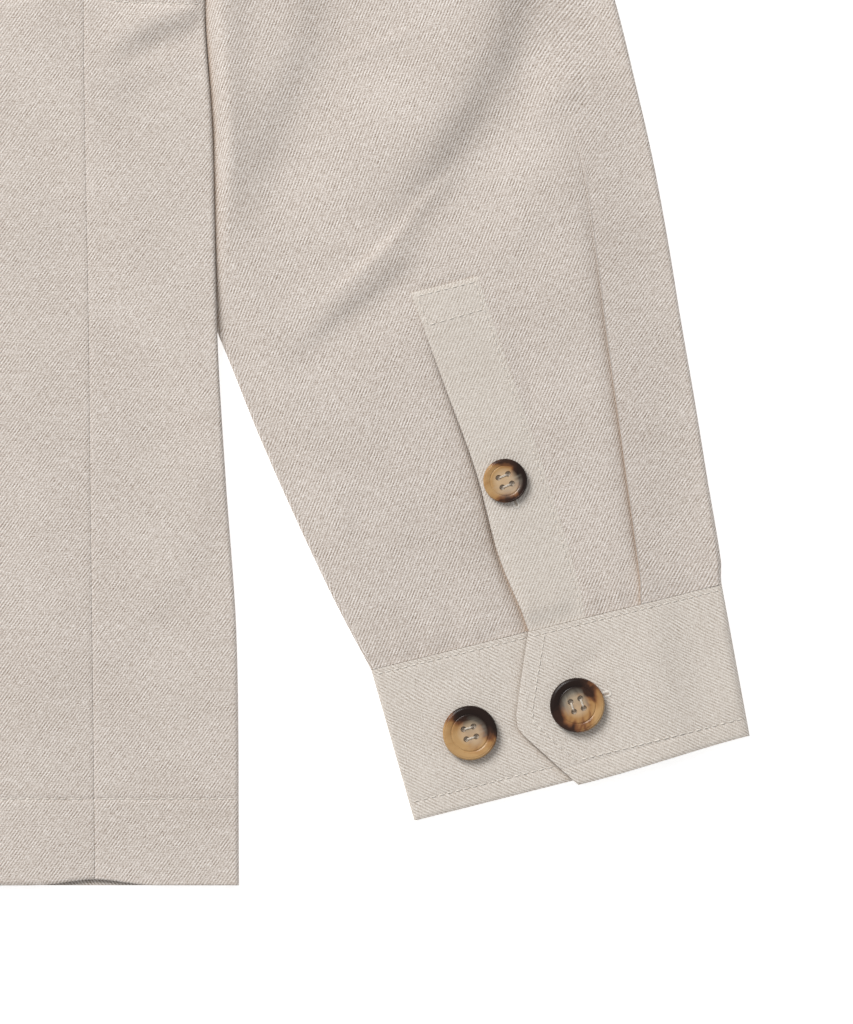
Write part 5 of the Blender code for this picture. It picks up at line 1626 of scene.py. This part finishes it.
def sew_pocket(pocket, side, which):
    """The stitches round a pocket, and for a flap also those at its top and its buttonhole."""
    left, right, bottom, top, cut = (pocket[key] for key in ("left", "right", "bottom", "top", "corner"))
    name, by = f"{pocket['name']}_{which}", POCKET_ROW
    inset = cut + by * 0.4
    rows = [
        [
            (left + by, top - by), (left + by, bottom + inset), (left + inset, bottom + by),
            (right - inset, bottom + by), (right - by, bottom + inset), (right - by, top - by),
        ]
    ]
    if pocket["layer"]:
        rows.append([(left + by, top - by), (right - by, top - by)])
    for path in rows:
        stitch_row(name, flipped(path, side), [f"cloth_{name}"])
    if pocket["layer"]:
        hole = (side * (left + right) / 2, bottom + FLAP_BUTTON_RISE)
        make_buttonhole(name, [f"cloth_{name}"], hole, math.pi / 2, FLAP_HOLE)


def flipped(path, side):
    """A path on the wearer's left, moved to a side."""
    return [(side * x, y) for x, y in path]


def sew_all():
    """Every row of stitches, on both sides, and the buttonholes."""
    on_cuff, on_placket, on_leaf = cuff_rows(), placket_rows(), collar_row()
    seam_x = BODY_EDGE[0]["seam"]
    seam = [(float(through(BODY_EDGE, "seam", level)), level) for level in np.linspace(0.004, PIN - 0.01, 60)]
    for side, which in SIDES:
        front = f"front_{which}"
        for level in BODY_ROWS:
            stop = float(through(BODY_EDGE, "fold", level)) - 0.0015
            behind = [p for p in body_row(level, stop) if p[0] > seam_x - 0.001]
            stitch_row(front, flipped(body_row(level, seam_x - 0.004), side), [f"cloth_{front}"])
            stitch_row("back", flipped(behind, side), ["cloth_back"])
        stitch_row(front, flipped(seam, side), [f"cloth_{front}", "cloth_back"], kind="seam")
        for node, paths in ((f"cuff_{which}", on_cuff), (f"sleeve_placket_{which}", on_placket)):
            for path in paths:
                stitch_row(node, flipped(path, side), [f"cloth_{node}"])
        for pocket in POCKETS:
            sew_pocket(pocket, side, which)
        stitch_row("collar", flipped(on_leaf, side), ["cloth_collar"])
        if side > 0:
            for x in (BAND_ROW - BAND_HALF, BAND_HALF - BAND_ROW):
                stitch_row("front_band", [(x, 0.003), (x, FRONT_NECK - 0.006)], ["cloth_front_band"])
        for hole in SLEEVE_HOLES:
            turn = math.radians(hole["turn"])
            turn = turn if side > 0 else math.pi - turn
            node = f"{hole['on']}_{which}"
            make_buttonhole(node, [f"cloth_{node}"], (side * hole["x"], hole["y"]), turn, hole["length"])
    for y in FRONT_BUTTONS:
        make_buttonhole("front_band", ["cloth_front_band"], (0, y), math.pi / 2, FRONT_HOLE)


def declare():
    """Hangs each piece of cloth and what is sewn on it from the root, and hides the solid that it stands for."""
    for cut in CUTS:
        for which in ("_left", "_right") if cut["pair"] else ("",):
            name = cut["node"] + which
            piece, sewn = bpy.data.objects[f"cloth_{name}"], extras.get(name, [])
            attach(piece, "root")
            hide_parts(name)
            for extra in sewn:
                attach(extra, "root")


def make_stage():
    """A white floor, a soft light from the upper left and the photograph's camera."""
    mesh = bpy.data.meshes.new("floor")
    corners = [(-FLOOR, -FLOOR, 0), (FLOOR, -FLOOR, 0), (FLOOR, FLOOR, 0), (-FLOOR, FLOOR, 0)]
    mesh.from_pydata(corners, [], [(0, 1, 2, 3)])
    floor = bpy.data.objects.new("floor", mesh)
    floor.location.z = FLOOR_LEVEL
    made, tree, shader = new_material("white_floor", (0.95, 0.95, 0.95))
    looks = {
        "Base Color": (0.9, 0.9, 0.9, 1), "Roughness": 0.9, "Emission Color": (1, 1, 1, 1),
        "Emission Strength": FLOOR_GLOW,
    }
    connect(tree, shader, looks)
    mesh.materials.append(made)
    scene.collection.objects.link(floor)
    scene.world = bpy.data.worlds.new("studio")
    scene.world.use_nodes = True
    tree = scene.world.node_tree
    connect(tree, tree.nodes["Background"], {0: (1, 1, 1, 1), 1: SKY})
    target = Vector((*spot(PHOTO_WIDTH / 2, PHOTO_HEIGHT / 2), CLOTH_LEVEL)) - Vector((0, MIDDLE, 0))
    data = bpy.data.lights.new("window", "AREA")
    data.shape, data.size, data.energy, data.color = "DISK", WINDOW["size"], WINDOW["power"], WINDOW["colour"]
    window = bpy.data.objects.new("window", data)
    turn, rise = math.radians(WINDOW["turn"]), math.radians(WINDOW["rise"])
    way = Vector((math.cos(turn) * math.cos(rise), math.sin(turn) * math.cos(rise), math.sin(rise)))
    window.location = target + way * WINDOW["away"]
    window.rotation_euler = (-way).to_track_quat("-Z", "Y").to_euler()
    scene.collection.objects.link(window)
    data = bpy.data.cameras.new("camera")
    data.sensor_width = SENSOR
    data.lens = SENSOR * CAMERA_HEIGHT / (PHOTO_HEIGHT / PX_PER_MM / 1000)
    camera = bpy.data.objects.new("camera", data)
    camera.location = target + Vector((0, 0, CAMERA_HEIGHT))
    scene.collection.objects.link(camera)
    scene.camera = camera
    scene.view_settings.view_transform = "Standard"


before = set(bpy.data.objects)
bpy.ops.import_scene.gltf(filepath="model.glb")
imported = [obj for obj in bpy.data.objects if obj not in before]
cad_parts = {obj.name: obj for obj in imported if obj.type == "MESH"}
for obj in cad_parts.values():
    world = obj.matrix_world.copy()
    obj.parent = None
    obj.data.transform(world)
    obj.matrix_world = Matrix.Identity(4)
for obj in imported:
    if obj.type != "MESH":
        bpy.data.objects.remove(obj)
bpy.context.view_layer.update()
scene = bpy.context.scene
jacket = bpy.data.collections.new("safari_jacket_looks")
scene.collection.children.link(jacket)
twill = twill_material("melange_twill")
faced_twill = twill_material("melange_twill_faced", lighter=0.03, contrast=0.68, tint=(0.985, 0.995, 1.0))
thread = thread_material("thread", THREAD)
button_cotton = thread_material("button_cotton", COTTON)
# Painted shade for the needle's holes and the slits of buttonholes.
hole_shade = thread_material("hole_shade", HOLE_SHADE)

make_back()
make_fronts()
make_sleeves()
make_cuffs()
make_collar()
make_pockets()
sew_all()
make_stitches()
make_buttons()
declare()
make_stage()
